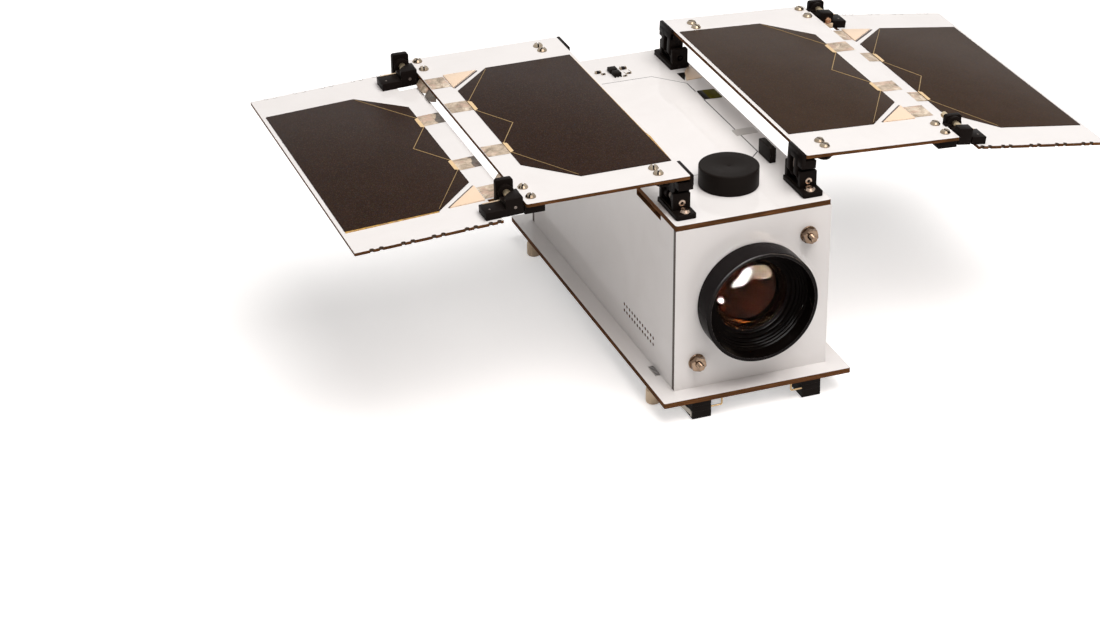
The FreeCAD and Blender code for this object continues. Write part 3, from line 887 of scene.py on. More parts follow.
def makeTopPads():
    pads = [("blackPad", "case", [(17.05, 97.0), (17.2, 91.1), (19.9, 96.8)], 0.10),
            ("peachPad", "peach", [(17.7, 90.9), (23.1, 91.3), (23.1, 102.0), (19.6, 96.9)], 0.25),
            ("olivePad", "olive", [(18.9, 75.7), (22.9, 75.3), (22.9, 81.7), (18.9, 82.1)], 0.30),
            ("olivePadEnd", "case", [(17.2, 75.9), (19.2, 75.7), (19.2, 82.1), (17.4, 82.2)], 0.29),
            ("greyPad", "grey", rectangle(15.9, 22.8, 48.4, 52.4), 0.18)]    # name, finish, outline, height
    for name, mat, outline, high in pads:
        bm = bmesh.new()
        addPrism(bm, rounded(outline, 0.3, 3), body["top"], body["top"] + high, bevel=0.05)
        finishPiece(bm, name, [mat], "body")


def makeTopParts():
    makeKnob()
    makeSensorBlock()
    makeEmptyCellOutline()
    makeTopChips()
    makeTopPads()
    print("top parts")


# under the base plate

def makeFeet():
    foot = dict(x=26.5, ends=dict(front=8.6, rear=108.1))
    profile = [(-7.5, 0), (-7.5, 1.65), (-7.38, 1.95), (-7.1, 2.14), (-6.7, 2.2), (-3.35, 2.2), (-3.1, 2.13),
               (-3.0, 1.9), (-2.6, 1.75), (-2.0, 1.15), (-1.62, 1.0), (-1.62, 0)]    # height, radius
    for end, y in foot["ends"].items():
        for side, x in (("left", -foot["x"]), ("right", foot["x"])):
            bm = bmesh.new()
            addLathe(bm, rounded(profile, 0.08, 2, False), (x, y, 0), "z", 56)
            finishPiece(bm, end + side.capitalize() + "Foot", ["nylon"], "body",
                        f"{end}_{side}_foot")
    print("feet")


switch = dict(x=(14.2, 20.0), y=(-5.0, 7.8), z=(-7.4, -1.6), parting=-3.4,
              pivot=(19.55, -3.8), leverZ=(-6.9, -5.3), angle=9.5, travel=6.0)


def makeSwitchCase(side):
    px, py = switch["pivot"]
    (x0, x1), (y0, y1), (z0, z1) = switch["x"], switch["y"], switch["z"]
    low, high = switch["leverZ"][0] - 0.15, switch["leverZ"][1] + 0.15
    slope = tan(radians(switch["angle"] - switch["travel"]))    # the groove follows the pressed lever
    groove = [(x0, y0), (x1, y0), (x1, py - 0.75), (px - 0.75, py - 0.75), (px - 0.75, py + 0.8),
              (px - 0.4 + 0.8 * slope, py + 0.8), (px - 0.4 + (y1 - py) * slope, y1), (x0, y1)]
    plain = rectangle(x0, x1, y0, y1)
    bm = bmesh.new()
    addPrism(bm, plain, z0, low, bevel=0.12, steps=3)
    addPrism(bm, groove, low - 0.02, high + 0.02)
    addPrism(bm, plain, high, switch["parting"], bevel=0.12, steps=3)
    addPrism(bm, plain, switch["parting"] - 0.02, z1, bevel=0.12, steps=3)
    addLathe(bm, [(low, 0), (low, 0.3), (high, 0.3), (high, 0)], (px, py, 0), "z", 16, 1)
    for y in (-2.6, 5.4):    # rivet ends through the case
        addLathe(bm, [(z0, 0), (z0, 0.62), (z0 + 0.2, 0.72)], (16.4, y, 0), "z", 20, 1)
    finishPiece(bm, side + "SwitchCase", ["case", "steel"], "body", side + "_switch_case",
                mirror[side])


def makeSwitchLever(side):    # strip curled round its pivot, with a raised pad near the tip
    px, py = switch["pivot"]
    low, high = switch["leverZ"]
    root, tip = py + 0.45, py + 10.58
    strip = [(root, low), (tip - 0.68, low), (tip - 0.08, low + 0.35), (tip, low + 0.8),
             (tip - 0.08, high - 0.35), (tip - 0.68, high), (root, high)]
    bm = bmesh.new()
    addPrism(bm, strip, px - 0.13, px + 0.13, "x", bevel=0.04)
    curl = [(px + r * cos(radians(a)), py + r * sin(radians(a)))
            for r, turns in ((0.58, range(-30, 265, 15)), (0.36, range(255, -45, -15))) for a in turns]
    addPrism(bm, curl, low, high)
    pad = roundedBox(py + 6.2, py + 8.6, low + 0.45, high - 0.45, 0.3, 3)
    addPrism(bm, pad, px + 0.08, px + 0.17, "x", bevel=0.03)
    bm.transform(turnAbout((px, py, 0), -switch["angle"], "Z"))
    finishPiece(bm, side + "SwitchLever", ["steel"], side + "_lever", side + "_switch_lever",
                mirror[side])


def makeSwitchTails(side):    # three brass tails on the inner side, bent down from the plate
    bend = rounded([(10.8, -1.55), (10.8, -4.4), (14.3, -4.4)], 0.5, 5, False)
    solder = [(-1.62, 0), (-1.62, 0.85), (-1.85, 0.62), (-2.2, 0.34), (-2.2, 0)]
    bm = bmesh.new()
    for y in (-4.6, 1.4, 7.2):
        addTube(bm, [(x, y, z) for x, z in bend], 0.28, 12)
        addLathe(bm, solder, (10.8, y, 0), "z", 20, 1)
    finishPiece(bm, side + "SwitchTails", ["brass", "nickel"], "body", turn=mirror[side])


def makePushButton(side):    # cream button beside the case
    profile = [(19.9, 0), (19.9, 0.85), (21.35, 0.85), (21.6, 0.6), (21.7, 0)]
    bm = bmesh.new()
    addLathe(bm, rounded(profile, 0.15, 3, False), (-1.6, -2.75, 0), "x", 28)
    finishPiece(bm, side + "PushButton", ["nylon"], "body", turn=mirror[side])


def makeSwitches():
    for side in ("left", "right"):
        makeSwitchCase(side)
        makeSwitchLever(side)
        makeSwitchTails(side)
        makePushButton(side)
    print("switches")


# body hinges: fixed housing, leaf on the wing, hollow pin, torsion spring and flange screw

bodyHinge = dict(ends=dict(front=(2.8, 1), rear=(113.9, -1)),    # start on y, direction of y
                 flange=1.5, ears=((3.7, 5.3), (12.4, 14.0)), earHalf=2.6, earTop=3.0, knuckle=2.02,
                 coil=1.32, wire=0.21, turns=3.4, nuts=(5.7, 9.2), nutX=24.4)


def span(start, way, a, b):
    return tuple(sorted((start + way * a, start + way * b)))


def finishHinge(bm, side, end, kind, mats, body=None, replaces=None):
    # body is inner or outer for a piece that turns with that panel
    turn = wingTurn(side, body == "outer") if body else mirror[side]
    rides = f"{side}_{body}_wing" if body else "body"
    node = f"{side}_{end}_{replaces}" if replaces else None
    finishPiece(bm, side + end.capitalize() + kind, mats, rides, node, turn)


def makeHingeHousing(side, end, start, way):
    (px, pz), top = wing["pin"], body["top"]
    half, high = bodyHinge["earHalf"], pz + bodyHinge["earTop"]
    radii = [0.9, 0.9, 0.25, 0.25][::way]    # the flange's free corners are the round ones
    flange = roundedBox(px - 3.1, px + 3.1, *span(start, way, 0, 14), radii, 5)
    bm = bmesh.new()
    addPrism(bm, flange, top, top + bodyHinge["flange"], bevel=0.18, steps=3)
    ear = roundedBox(px - half, px + half, top + 1.2, high, [0, 0, 0.55, 0.55], 5)
    rib = [(px - 2.2, top + 1.3), (px + 2.2, top + 1.3), (px + 1.2, top + 2.6), (px - 1.2, top + 2.6)]
    (frontEar, rearEar), over, under = bodyHinge["ears"], 0.15, 0.05
    inward = (frontEar[1] - under, frontEar[1] + over), (rearEar[0] - over, rearEar[0] + under)
    for place, ribPlace in zip((frontEar, rearEar), inward):    # a rib stands on the leaf's side of each ear
        addPrism(bm, ear, *span(start, way, *place), "y", bevel=0.16, steps=3)
        addPrism(bm, rib, *span(start, way, *ribPlace), "y")
    for s in (-1, 1):    # low kerbs along the flange
        kerb = [(2.6, 1.3), (2.15, 1.3), (2.25, 1.85), (2.6, 1.85)]
        addPrism(bm, [(px + s * x, top + z) for x, z in kerb], *span(start, way, 5.2, 12.5), "y")
    finishHinge(bm, side, end, "HingeHousing", ["hinge"], None, "hinge_housing")


def makeHingeLeaf(side, end, start, way):
    px, pz = wing["pin"]
    knuckle, edge = bodyHinge["knuckle"], wing["inner"][0] - 0.02
    leg = rounded([(px - 3.0, pz + 0.9), (px - 1.6, pz - 0.4), (px + 1.5, pz + 0.6), (px + 1.5, 62.6),
                   (px - 3.0, 62.6)], [0.5, 0.9, 0.5, 0.1, 0.1], 4)
    cap = rounded([(px - 3.0, 61.4), (px - 1.95, 61.4), (edge, 62.0), (edge, 64.65), (px - 3.0, 64.65)],
                  [0.2, 0, 0, 0.12, 0.35], 3)
    capStart = 2.5 if way > 0 else 3.5    # the cap runs on to the panel's end
    bm = bmesh.new()
    for place in ((5.5, 7.7), (10.1, 12.2)):
        y0, y1 = span(start, way, *place)
        barrel = [(y0, 0.95), (y0, 1.95), (y0 + 0.15, knuckle), (y1 - 0.15, knuckle), (y1, 1.95), (y1, 0.95)]
        addLathe(bm, barrel, (px, pz, 0), "y", 40)
        addPrism(bm, leg, y0, y1, "y", bevel=0.13)
    y0, y1 = span(start, way, 5.5, 12.2)
    addBox(bm, (px - 1.5, px + 1.45), (y0 + 0.05, y1 - 0.05), (pz + 1.5, 63.0))
    addPrism(bm, cap, *span(start, way, capStart, 12.2), "y", bevel=0.12)
    addBox(bm, (px - 2.95, px + 1.45), span(start, way, capStart + 0.1, 5.6), (pz + 4.15, 62.5), 0, 0.1)
    tongue = roundedBox(px - 3.0, px + 7.6, *span(start, way, 3.9, 12.2), [0.2, 1.2, 1.2, 0.2], 5)
    addPrism(bm, tongue, 62.4, 63.49, bevel=0.15)
    for y in bodyHinge["nuts"]:    # under the tongue
        addHexNut(bm, (bodyHinge["nutX"], start + way * y), 3.9, 61.7, 62.45, "z", 0.9, 10)
    finishHinge(bm, side, end, "HingeLeaf", ["hinge"], "inner", "hinge_leaf")


def makeHingePin(side, end, start, way):    # hollow, with a turned collar at its outer end
    tube = [(3.45, 0.47), (3.45, 0.90), (3.5, 0.99), (3.62, 1.02), (3.70, 0.98), (3.72, 0.9), (14.0, 0.9),
            (14.0, 0.5)]    # place along the pin, radius
    bm = bmesh.new()
    addLathe(bm, [(start + way * w, r) for w, r in tube], (*wing["pin"], 0), "y", 40)
    finishHinge(bm, side, end, "HingePin", ["nickel"], None, "hinge_pin")


def makeHingeSpring(side, end, start, way):    # coil round the pin, one leg up inside the leaf's slot
    (px, pz), r, steps = wing["pin"], bodyHinge["coil"], 18
    coil = []
    for k in range(int(bodyHinge["turns"] * steps) + 1):
        a = 2 * pi * k / steps + 2.0
        coil.append((px + r * cos(a), start + way * (7.95 + 0.56 * k / steps), pz + r * sin(a)))
    y = coil[-1][1]
    coil += [(px - 1.9, y, pz + 2.2), (px - 2.0, y, pz + 3.4), (px - 1.85, y, pz + 5.0)]
    bm = bmesh.new()
    addTube(bm, coil, bodyHinge["wire"], 8)
    finishHinge(bm, side, end, "HingeSpring", ["steelDark"], "inner")


def makeFlangeScrew(side, end, start, way):
    place = (wing["pin"][0] - 0.3, start + way * 2.05, body["top"] + bodyHinge["flange"])
    bm = bmesh.new()
    addPanHead(bm, place, 1.6, 0.95, 0.36, 12 * way)
    # the second finish darkens the slot floor: painted shade
    finishHinge(bm, side, end, "FlangeScrew", ["nickel", "bore"])


def makeBodyHinges():
    for side in ("left", "right"):
        for end, place in bodyHinge["ends"].items():
            for make in (makeHingeHousing, makeHingeLeaf, makeHingePin, makeHingeSpring, makeFlangeScrew):
                make(side, end, *place)
    print("body hinges")


# tip hinges between the two panels of a wing

tipHinge = dict(starts=dict(front=7.0, rear=99.7), blockTop=66.15, barTop=63.5, boss=2.2, tube=1.05,
                barEnd=dict(left=76.9, right=75.2), earTop=dict(left=3.5, right=2.2),
                pinReach=dict(leftfront=11.8, rightfront=13.8, leftrear=9.9, rightrear=9.9))


def makeTipInnerLeaf(side, end, start):    # foot under the panel, wall along its edge, ear with a round boss
    (px, pz), low, under = wing["tipPin"], wing["outerTop"], wing["innerTop"] - wing["innerThick"]
    boss = tipHinge["boss"]
    bm = bmesh.new()
    addBox(bm, (59.7, 65.6), (start - 0.6, start + 10.1), (low - 0.35, under - 0.01), 0, 0.07)
    addBox(bm, (65.0, px + 2.6), (start + 7.5, start + 9.5), (low, under), 0, 0.16, 3)
    addBox(bm, (64.95, 67.0), (start + 5.75, start + 7.9), (low, wing["innerTop"] + 0.3), 0, 0.08)
    ear = roundedBox(px - 2.5, px + 2.6, low + 0.05, pz + tipHinge["earTop"][side], [0.2, 0.2, 0.8, 0.9], 6)
    addPrism(bm, ear, start + 7.75, start + 9.5, "y", bevel=0.12, steps=3)
    ring = [(6.6, 1.0), (6.6, boss - 0.2), (6.72, boss), (7.85, boss), (7.85, 1.0)]
    addLathe(bm, ring, (px, pz - 0.1, start), "y", 40)
    finishHinge(bm, side, end, "TipInnerLeaf", ["hinge"], "inner", "wing_inner_leaf")


def makeTipOuterLeaf(side, end, start):    # block over the pin and flat bar under the outer panel's screws
    px, low, front = wing["tipPin"][0], wing["outerTop"], start - 0.6
    barEnd, barTop = tipHinge["barEnd"][side], tipHinge["barTop"]
    if side == "left":    # scooped towards the ear
        scoop = [(-2.4, 0), (2.6, 0), (2.3, 2.2), (0.9, 3.9), (-0.9, 4.9), (-2.4, 5.2)]
        block = rounded([(px + x, front + y) for x, y in scoop], [0.1, 0.1, 1.2, 1.5, 1.5, 0.2], 4)
    else:
        block = rectangle(px - 2.3, px + 1.9, front, front + 3.4)
    bm = bmesh.new()
    addBox(bm, (px - 2.35, px + 2.5), (front + 1.0, start + 5.3), (low, low + 3.3), 0, 0.12)
    addPrism(bm, block, low, tipHinge["blockTop"], bevel=0.10)
    addBox(bm, (px + 2.3, barEnd), (front + 0.01, start + 5.55), (low + 0.01, barTop), 0, 0.12)
    if side == "left":    # screw head in the block's front
        head = [(-0.02, 0), (-0.06, 0.16), (-0.02, 0.30), (-0.04, 0.42), (0.05, 0.50), (0.25, 0.50)]
        addLathe(bm, head, (px - 0.1, 63.45, front), "y", 20, 1)
    dot = [(0.16, 0), (0.14, 0.14), (0.08, 0.27), (-0.05, 0.32)]
    addLathe(bm, dot, (barEnd - 1.8, start + 1.5, barTop), "z", 20, 1)
    addBox(bm, (px + 2.3, barEnd - 1.1), (start + 5.1, start + 5.5), (barTop - 0.1, barTop + 0.16), 2, 0.05)
    if side == "right" and end == "rear":    # this one shows its screw and a pale spacer
        head = [(-0.95, 0), (-0.9, 0.45), (-0.6, 0.95), (-0.1, 1.15), (0.3, 1.15)]
        addLathe(bm, head, (px + 0.15, 63.85, front), "y", 36, 3)
        addBox(bm, (px - 0.9, px + 2.2), (front - 0.45, front + 0.2), (low + 0.02, low + 1.75), 2, 0.22, 3)
    finishes = ["hinge", "steelDark", "nylon", "copper"]
    finishHinge(bm, side, end, "TipOuterLeaf", finishes, "outer", "wing_outer_leaf")


def makeTipPin(side, end, start):    # pin in its brass tube; the front ones carry a bush at the end
    place, tube, reach = (*wing["tipPin"], start), tipHinge["tube"], tipHinge["pinReach"][side + end]
    pin = [(1.2, 0), (1.2, tube), (7.3, tube), (7.3, 0.72), (reach - 0.15, 0.72), (reach, 0.55), (reach, 0)]
    bm = bmesh.new()
    addLathe(bm, pin, place, "y", 36)
    if end == "front":
        bush = [(9.4, 0.7), (9.45, 0.95), (reach - 0.1, 0.95), (reach, 0.8), (reach, 0)]
        addLathe(bm, bush, place, "y", 36)
    finishHinge(bm, side, end, "TipPin", ["brassPale"], "inner", "wing_pin")


def makeTipHinges():
    for side in ("left", "right"):
        for end, start in tipHinge["starts"].items():
            for make in (makeTipInnerLeaf, makeTipOuterLeaf, makeTipPin):
                make(side, end, start)
    print("tip hinges")


# wing panels with what sits on them

cell = dict(wide=40.0, long=80.0, cutX=13.1, cutY=12.9, front=17.8, edge=1.2, thick=0.25,
            shift=dict(left=-1.8, right=2.1))    # the inner boards are one design, turned half round


def layOut(side, which):    # straight is the cell's long edge, way points from it to the clipped corners
    inner = which == "inner"
    x0, x1 = wing[which]
    way = 1 if inner else -1
    straight = x0 + cell["edge"] if inner else x1 - cell["edge"]
    near = cell["front"] + (cell["shift"][side] if inner else 0.0)
    return SimpleNamespace(side=side, inner=inner, name=side + which.capitalize(), node=f"{side}_{which}",
                           rides=f"{side}_{which}_wing", turn=wingTurn(side, not inner),
                           x0=x0, x1=x1, y0=wing["front"], y1=wing["rear"], top=wing[which + "Top"],
                           under=wing[which + "Top"] - wing[which + "Thick"], straight=straight, way=way,
                           far=straight + way * cell["wide"], near=near, end=near + cell["long"],
                           mid=near + cell["long"] / 2)


def finishOnWing(bm, p, kind, mats, replaces=None, sharp=35):
    node = f"{p.node}_{replaces}" if replaces else None
    finishPiece(bm, p.name + kind, mats, p.rides, node, p.turn, sharp)


# half holes in both ends of the outer panel, by x
edgeHoles = dict(places=[109.9, 107.2, 101.0, 98.3, 92.3, 89.7, 82.9, 80.4, 76.1, 73.6], radius=0.52,
                 plating=0.15)


def castellated(x0, x1, y, way):    # one end of the outer panel, with its half holes
    forward, r = x1 > x0, edgeHoles["radius"]
    line = [(x0, y)]
    for c in sorted(edgeHoles["places"], reverse=not forward):
        for k in range(9):
            a = pi - pi * k / 8 if forward else pi * k / 8
            line.append((c + r * cos(a), y + way * r * sin(a)))
    return line + [(x1, y)]


def makePanel(p):
    if p.inner:
        outline = roundedBox(p.x0, p.x1, p.y0, p.y1, 0.5)
    else:    # both corners next to the hinges are cut out
        cutX, cutY = p.x0 + 5.8, 13.4
        outline = castellated(cutX, p.x1, p.y0, 1) + castellated(p.x1, cutX, p.y1, -1)
        outline += [(cutX, p.y1 - cutY), (p.x0, p.y1 - cutY), (p.x0, p.y0 + cutY), (cutX, p.y0 + cutY)]
    bm = bmesh.new()
    addPrism(bm, outline, p.under, p.top, rim=1)
    finishOnWing(bm, p, "Panel", ["mask", "edge"], "panel")


def makeEndContacts(p):    # plating in the half holes of both ends
    inside = edgeHoles["radius"] - 0.02
    outside = edgeHoles["radius"] + edgeHoles["plating"]
    spots = [(inside, pi * k / 12) for k in range(13)] + [(outside, pi * (12 - k) / 12) for k in range(13)]
    bm = bmesh.new()
    for x in edgeHoles["places"]:
        for y, s in ((p.y0, 1), (p.y1, -1)):
            ring = [(x + r * cos(a), y + s * (r * sin(a) + 0.005)) for r, a in spots]
            addPrism(bm, ring, p.under - 0.02, p.top + 0.04)
    finishOnWing(bm, p, "EndContacts", ["goldEdge"])


def makeCell(p):
    s, w = p.straight, p.way
    clip, edge = p.far - w * cell["cutX"], 0.5
    outline = [(s, p.near), (clip, p.near), (p.far, p.near + cell["cutY"]), (p.far, p.end - cell["cutY"]),
               (clip, p.end), (s, p.end)]
    if p.inner:    # adhesive squeezed out along the straight edge
        film = [(s - w * 0.28, p.near + 20), (s - w * 0.12, p.end - 1.0), (s + w * edge, p.end - 1.0),
                (s + w * edge, p.near + 1.0), (s - w * 0.12, p.near + 1.0), (s - w * 0.55, p.near + 14),
                (s - w * 0.7, p.near + 17)]
    else:    # and along the front edge
        film = [(s, p.near - 0.75), (clip, p.near - 0.45), (clip, p.near + edge), (s, p.near + edge)]
    bm = bmesh.new()
    addPrism(bm, outline, p.top + 0.07, p.top + cell["thick"], bevel=0.04)
    if p.side == "left":
        addPrism(bm, film, p.top, p.top + 0.16, mat=1)
    addPrism(bm, outline, p.top, p.top + 0.08, mat=2)
    # the right wing's cells take the lighter copy: painted sheen
    glass = dict(left="cell", right="cellWarm")[p.side]
    finishOnWing(bm, p, "Cell", [glass, "amber", "case"], "cell")


def makeBus(p):    # bent line along the clipped edge, with a pad at each contact
    half = [(12.75, 39.0), (0.15, 18.3), (0.15, 12.3)]    # from the clipped edge inwards, from the middle
    bends = half + [(7.4, 0.0)] + [(inward, -along) for inward, along in reversed(half)]
    widths = [0.14, 0.24, 0.26, 0.27, 0.26, 0.24, 0.14]
    z = p.top + cell["thick"]
    points = [(p.far - p.way * inward, p.mid + along) for inward, along in bends]
    bm = bmesh.new()
    addTrace(bm, points, widths, z - 0.01, z + 0.05, 0, 0.5)
    outer, inner = p.far - p.way * 0.02, p.far - p.way * 1.15
    for a, b in ((points[1][1], points[2][1]), (points[4][1], points[5][1])):
        pad = [(outer, a + 0.5), (inner, a - 0.2), (inner, b + 0.2), (outer, b - 0.5)]
        addPrism(bm, rounded(pad, 0.12), z - 0.01, z + 0.06, mat=1)
    finishOnWing(bm, p, "Bus", ["gold", "goldPad"])


def addCrinkled(bm, x0, x1, y0, y1, z, seed, lift=0.14, teeth=0, shaded=False):
    # teeth are cut in the low (-1) or high (1) x end; the last flag paints the higher panel's cast shadow on
    # the low end, in the darker foil, with a wavy edge
    rng = random.Random(seed)
    columns, rows = 24, 28
    limits = ((0.5, 1.9), (0.5, 1.9), (0, 6.3), (0.3, 1.0))    # a wave's run in x and y, phase, height
    waves = [[rng.uniform(*pair) for pair in limits] for _ in range(6)]
    lean, phase = rng.uniform(0.05, 0.16), rng.uniform(0, 6)
    toothed = {-1: 0, 1: columns}.get(teeth)
    grid = []
    for i in range(columns + 1):
        line = []
        for j in range(rows + 1):
            u, v = i / columns, j / rows
            x, y = x0 + (x1 - x0) * u, y0 + (y1 - y0) * v
            if i == toothed:
                x += teeth * (0.34 if j % 4 < 2 else -0.30)
            height = sum(w * abs(sin(a * x + b * y + c)) for a, b, c, w in waves) / 4
            rim = min(u, 1 - u, v, 1 - v) * 6
            line.append(bm.verts.new((x, y, z + 0.03 + lift * height * min(1, rim))))
        grid.append(line)
    for i in range(columns):
        for j in range(rows):
            f = bm.faces.new((grid[i][j], grid[i + 1][j], grid[i + 1][j + 1], grid[i][j + 1]))
            u, v = (i + 0.5) / columns, (j + 0.5) / rows
            # painted shadow: the low end takes the darker foil up to a wavy line
            f.material_index = int(shaded and u < 0.20 + lean * sin(5 * v + phase) + 0.16 * v)


def addCurl(bm, x, z, y0, y1, seed, mat):    # strip that leaves the board's underside and curls down
    rng = random.Random(seed)
    out, drop, rows = 1.75, 1.7, 12
    lines = []
    for j in range(rows + 1):
        v = j / rows
        y = y0 + (y1 - y0) * v
        bow = (1 - (2 * v - 1) ** 6) ** 0.5 if 0 < v < 1 else 0.0
        lines.append([bm.verts.new((x + out * bow * t, y, z - drop * t ** 1.6 - 0.05 * rng.random()))
                      for t in (0, 0.25, 0.5, 0.75, 1.0)])
    for a, b in zip(lines, lines[1:]):
        for k in range(4):
            bm.faces.new((a[k], a[k + 1], b[k + 1], b[k])).material_index = mat


diodeEnd = dict(leftInner=1, leftOuter=-1, rightInner=-1, rightOuter=1)    # the diode's corner, 1 at the rear
tabSeed = dict(leftInner=1, leftOuter=4, rightInner=7, rightOuter=10)


def makeTabs(p):    # three foil tabs, and curled strips in the gap between the panels
    # the middle curl takes the darker foil: painted shade on it in the gap
    curls = [(90.0, 98.6, 0), (83.4, 90.2, 1), (20.2, 28.9, 0)]
    hingeEdge = p.x1 - 0.15 if p.inner else p.x0 + 0.15
    inside, outside = p.far - p.way * 0.3, p.far + p.way * 0.75
    last = sorted((p.mid + diodeEnd[p.name] * 31.0, p.mid + diodeEnd[p.name] * 38.7))
    tabs = [(p.mid + 12.9, p.mid + 20.0, inside), (p.mid - 18.9, p.mid - 11.9, inside), (*last, outside)]
    bm = bmesh.new()
    for k, (y0, y1, cellEdge) in enumerate(tabs):
        x0, x1 = sorted((cellEdge, hingeEdge))
        toothed = k == 2
        addCrinkled(bm, x0, x1, y0, y1, p.top + 0.03, tabSeed[p.name] + k, teeth=-p.way * toothed,
                    shaded=not p.inner and not toothed)
    if p.inner:
        for y0, y1, mat in curls:
            addCurl(bm, p.x1 - 0.25, p.under + 0.23, y0, y1, tabSeed[p.name] + 2, mat)
    finishOnWing(bm, p, "Tabs", ["foil", "foilShade"], sharp=60)


def makeDiode(p):    # corner diode in one clipped corner, with a dark strip beside it, partly a dark line and partly the diode's edge shadow painted in
    s = diodeEnd[p.name]
    x, y = p.far + p.way * 0.5, p.mid + s * 39.5
    along, across = (x - p.way * 10.3, y), (x, y - s * 9.7)
    out = Vector((p.way, s)).normalized() * 0.36
    bm = bmesh.new()
    addPrism(bm, rounded([(x, y), along, across], 0.12, 2), p.top, p.top + 0.30, bevel=0.05)
    # painted shadow: the dark strip stands partly for the diode's edge shadow on the board
    addTrace(bm, [Vector(along) - out, Vector(across) - out], 0.62, p.top - 0.01, p.top + 0.12, 1)
    finishOnWing(bm, p, "Diode", ["peach", "seam"])


def makePanelScrews(p):
    screw = dict(radius=1.5, high=0.85, slot=0.62, seed=dict(left=7, right=9))
    rows = {25.1: (9.7, 13.3, 102.3, 105.9), 62.9: (9.1, 15.4, 102.1, 108.3)}    # x: y of each screw
    rng = random.Random(screw["seed"][p.side])
    bm = bmesh.new()
    for x, places in rows.items():
        for y in places:
            turn = rng.uniform(100, 150)
            addPanHead(bm, (x, y, p.top), screw["radius"], screw["high"], screw["slot"], turn)
    # the second finish darkens the slot floors: painted shade
    finishOnWing(bm, p, "Screws", ["screw", "bore"])


def makeWings():
    inner = (makePanel, makeCell, makeBus, makeTabs, makeDiode, makePanelScrews)
    outer = (makePanel, makeEndContacts, makeCell, makeBus, makeTabs, makeDiode)
    for side in ("left", "right"):
        for which, steps in (("inner", inner), ("outer", outer)):
            for make in steps:
                make(layOut(side, which))
    print("wings")


# room, lamps and camera; metres from here on

room = dict(half=6.0, fill=0.20, fillColour=(1.0, 0.93, 0.89), floorLift=0.42)


def seenDirectly(tree):    # one for rays that reach the camera straight, mirrored or through glass
    rays = node(tree, "ShaderNodeLightPath").outputs
    straight = calc(tree, "MAXIMUM", rays["Is Camera Ray"], rays["Is Glossy Ray"])
    return calc(tree, "MAXIMUM", straight, rays["Is Transmission Ray"])


def makeFloor():
    m, tree, shader = newMaterial("paleFloor", Roughness=0.9, Specular_IOR_Level=0.0)
    cloud = texture(tree, "Noise", objectPlace(tree), Scale=3.0, Detail=2.0)
    feed(tree, shader, Base_Color=mix(tree, cloud, (0.90, 0.90, 0.90), (0.92, 0.92, 0.92)))
    lift = times(tree, seenDirectly(tree), room["floorLift"])
    glow = node(tree, "ShaderNodeEmission", {"Color": (1, 1, 1), "Strength": lift}).outputs[0]
    both = node(tree, "ShaderNodeAddShader", {0: shader.outputs[0], 1: glow}).outputs[0]
    out = [n for n in tree.nodes if n.type == "OUTPUT_MATERIAL"][0]
    tree.links.new(both, out.inputs["Surface"])
    mesh = bpy.data.meshes.new("floor")
    half = room["half"]
    mesh.from_pydata([(x, y, 0) for x, y in rectangle(-half, half, -half, half)], [], [(0, 1, 2, 3)])
    mesh.materials.append(m)
    plane = bpy.data.objects.new("floor", mesh)
    bpy.context.scene.collection.objects.link(plane)


def makeWorld():
    world = bpy.data.worlds.new("studio")
    bpy.context.scene.world = world
    world.use_nodes = True
    tree = world.node_tree
    tree.nodes.clear()
    seen = seenDirectly(tree)
    colour = mix(tree, seen, room["fillColour"], (1.0, 1.0, 1.0))
    strength = spread(tree, seen, room["fill"], 1.0)
    back = node(tree, "ShaderNodeBackground", {"Color": colour, "Strength": strength}).outputs[0]
    node(tree, "ShaderNodeOutputWorld", {"Surface": back})


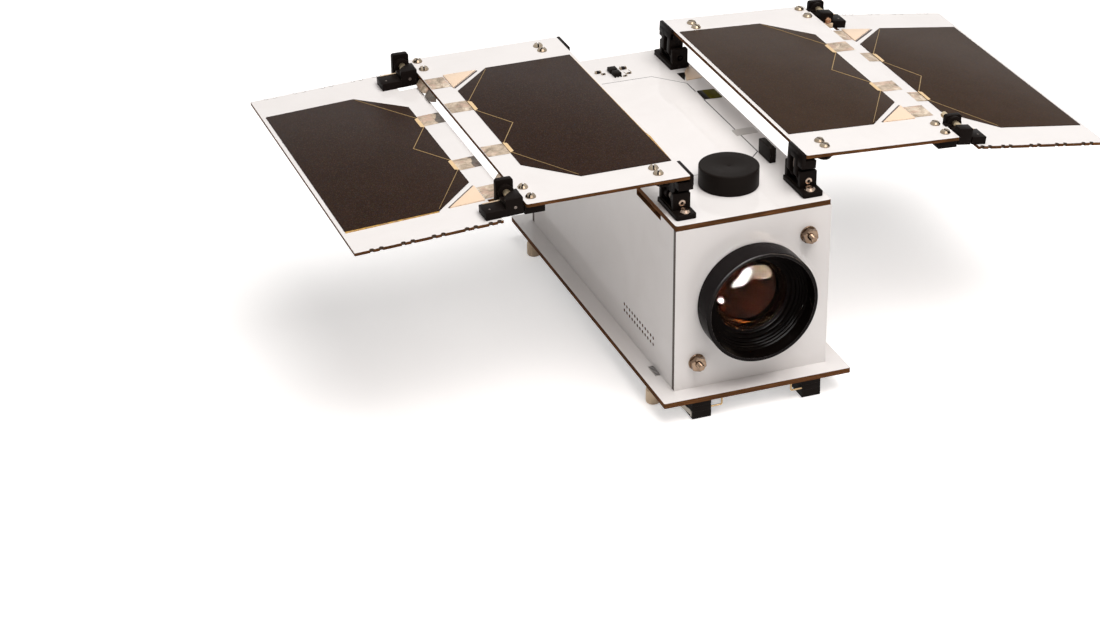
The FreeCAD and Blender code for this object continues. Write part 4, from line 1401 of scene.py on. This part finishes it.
# plain lamps light surfaces as well as gloss; the others show only in the pieces that shows names
daylight = (1.0, 0.985, 0.97)
lensMiddle = (0, -0.065, 0.034)
lamps = dict(
    overhead=dict(at=(0.20, -0.26, 1.34), to=(0, 0, 0.04), size=(1.1, 1.1), power=16.5, colour=daylight,
                  plain=True),
    key=dict(at=(0.10, -0.90, 1.20), to=(0, -0.03, 0.04), size=(1.0, 0.8), power=6.6,
             colour=(1.0, 0.89, 0.84), plain=True),
    window=dict(at=(-0.033, -0.861, 0.064), to=lensMiddle, size=(0.76, 0.20), power=400.0, colour=daylight,
                plain=False, roll=48.0, shows="lens"),
    sideWindow=dict(at=(0.500, -0.685, 0.165), to=lensMiddle, size=(0.50, 0.27), power=60.0,
                    colour=(1.0, 0.80, 0.62), plain=False, roll=-20.0, shows="lens"),
    glint=dict(at=(-0.0396, -0.1075, 0.0055), to=(-0.0098, -0.0573, 0.0339), size=(0.0120, 0.0080), power=1.2,
               colour=(0.94, 0.97, 1.0), plain=False, roll=15.0, shows="glass"),
)


def makeLamps(lit):
    for name, lamp in lamps.items():
        light = bpy.data.lights.new(name, "AREA")
        light.shape = "RECTANGLE"
        light.size, light.size_y = lamp["size"]
        light.energy, light.color = lamp["power"], lamp["colour"]
        item = bpy.data.objects.new(name, light)
        item.location = lamp["at"]
        aim = (Vector(lamp["to"]) - Vector(lamp["at"])).to_track_quat("-Z", "Y").to_matrix()
        item.rotation_euler = (aim @ Matrix.Rotation(radians(lamp.get("roll", 0.0)), 3, "Z")).to_euler()
        item.visible_camera = False
        item.visible_diffuse = lamp["plain"]
        if "shows" in lamp:
            item.light_linking.receiver_collection = lit[lamp["shows"]]
        bpy.context.scene.collection.objects.link(item)


def makeCamera():
    # heading is turned to the right from +Y, tilt is up from level, roll is about the view's own line
    view = dict(at=(-0.29948, -0.70664, 0.41429), heading=20.16718, tilt=-28.37661, roll=-0.57978,
                focal=93.57)
    camera = bpy.data.cameras.new("camera")
    camera.sensor_width, camera.lens = 36.0, view["focal"]
    camera.clip_start, camera.clip_end = 0.01, 50
    item = bpy.data.objects.new("camera", camera)
    item.location = view["at"]
    turns = ((-view["heading"], "Z"), (90 + view["tilt"], "X"), (view["roll"], "Z"))
    heading, tilt, roll = [Matrix.Rotation(radians(angle), 3, axis) for angle, axis in turns]
    item.rotation_euler = (heading @ tilt @ roll).to_euler()
    bpy.context.scene.collection.objects.link(item)
    bpy.context.scene.camera = item


makeBody()
makeRods()
lensPieces = makeLens()
makeTopParts()
makeFeet()
makeSwitches()
makeBodyHinges()
makeTipHinges()
makeWings()
makeFloor()
makeWorld()
makeLamps(lensPieces)
makeCamera()
bpy.context.scene.view_settings.view_transform = "Standard"
print("room, lamps and camera")
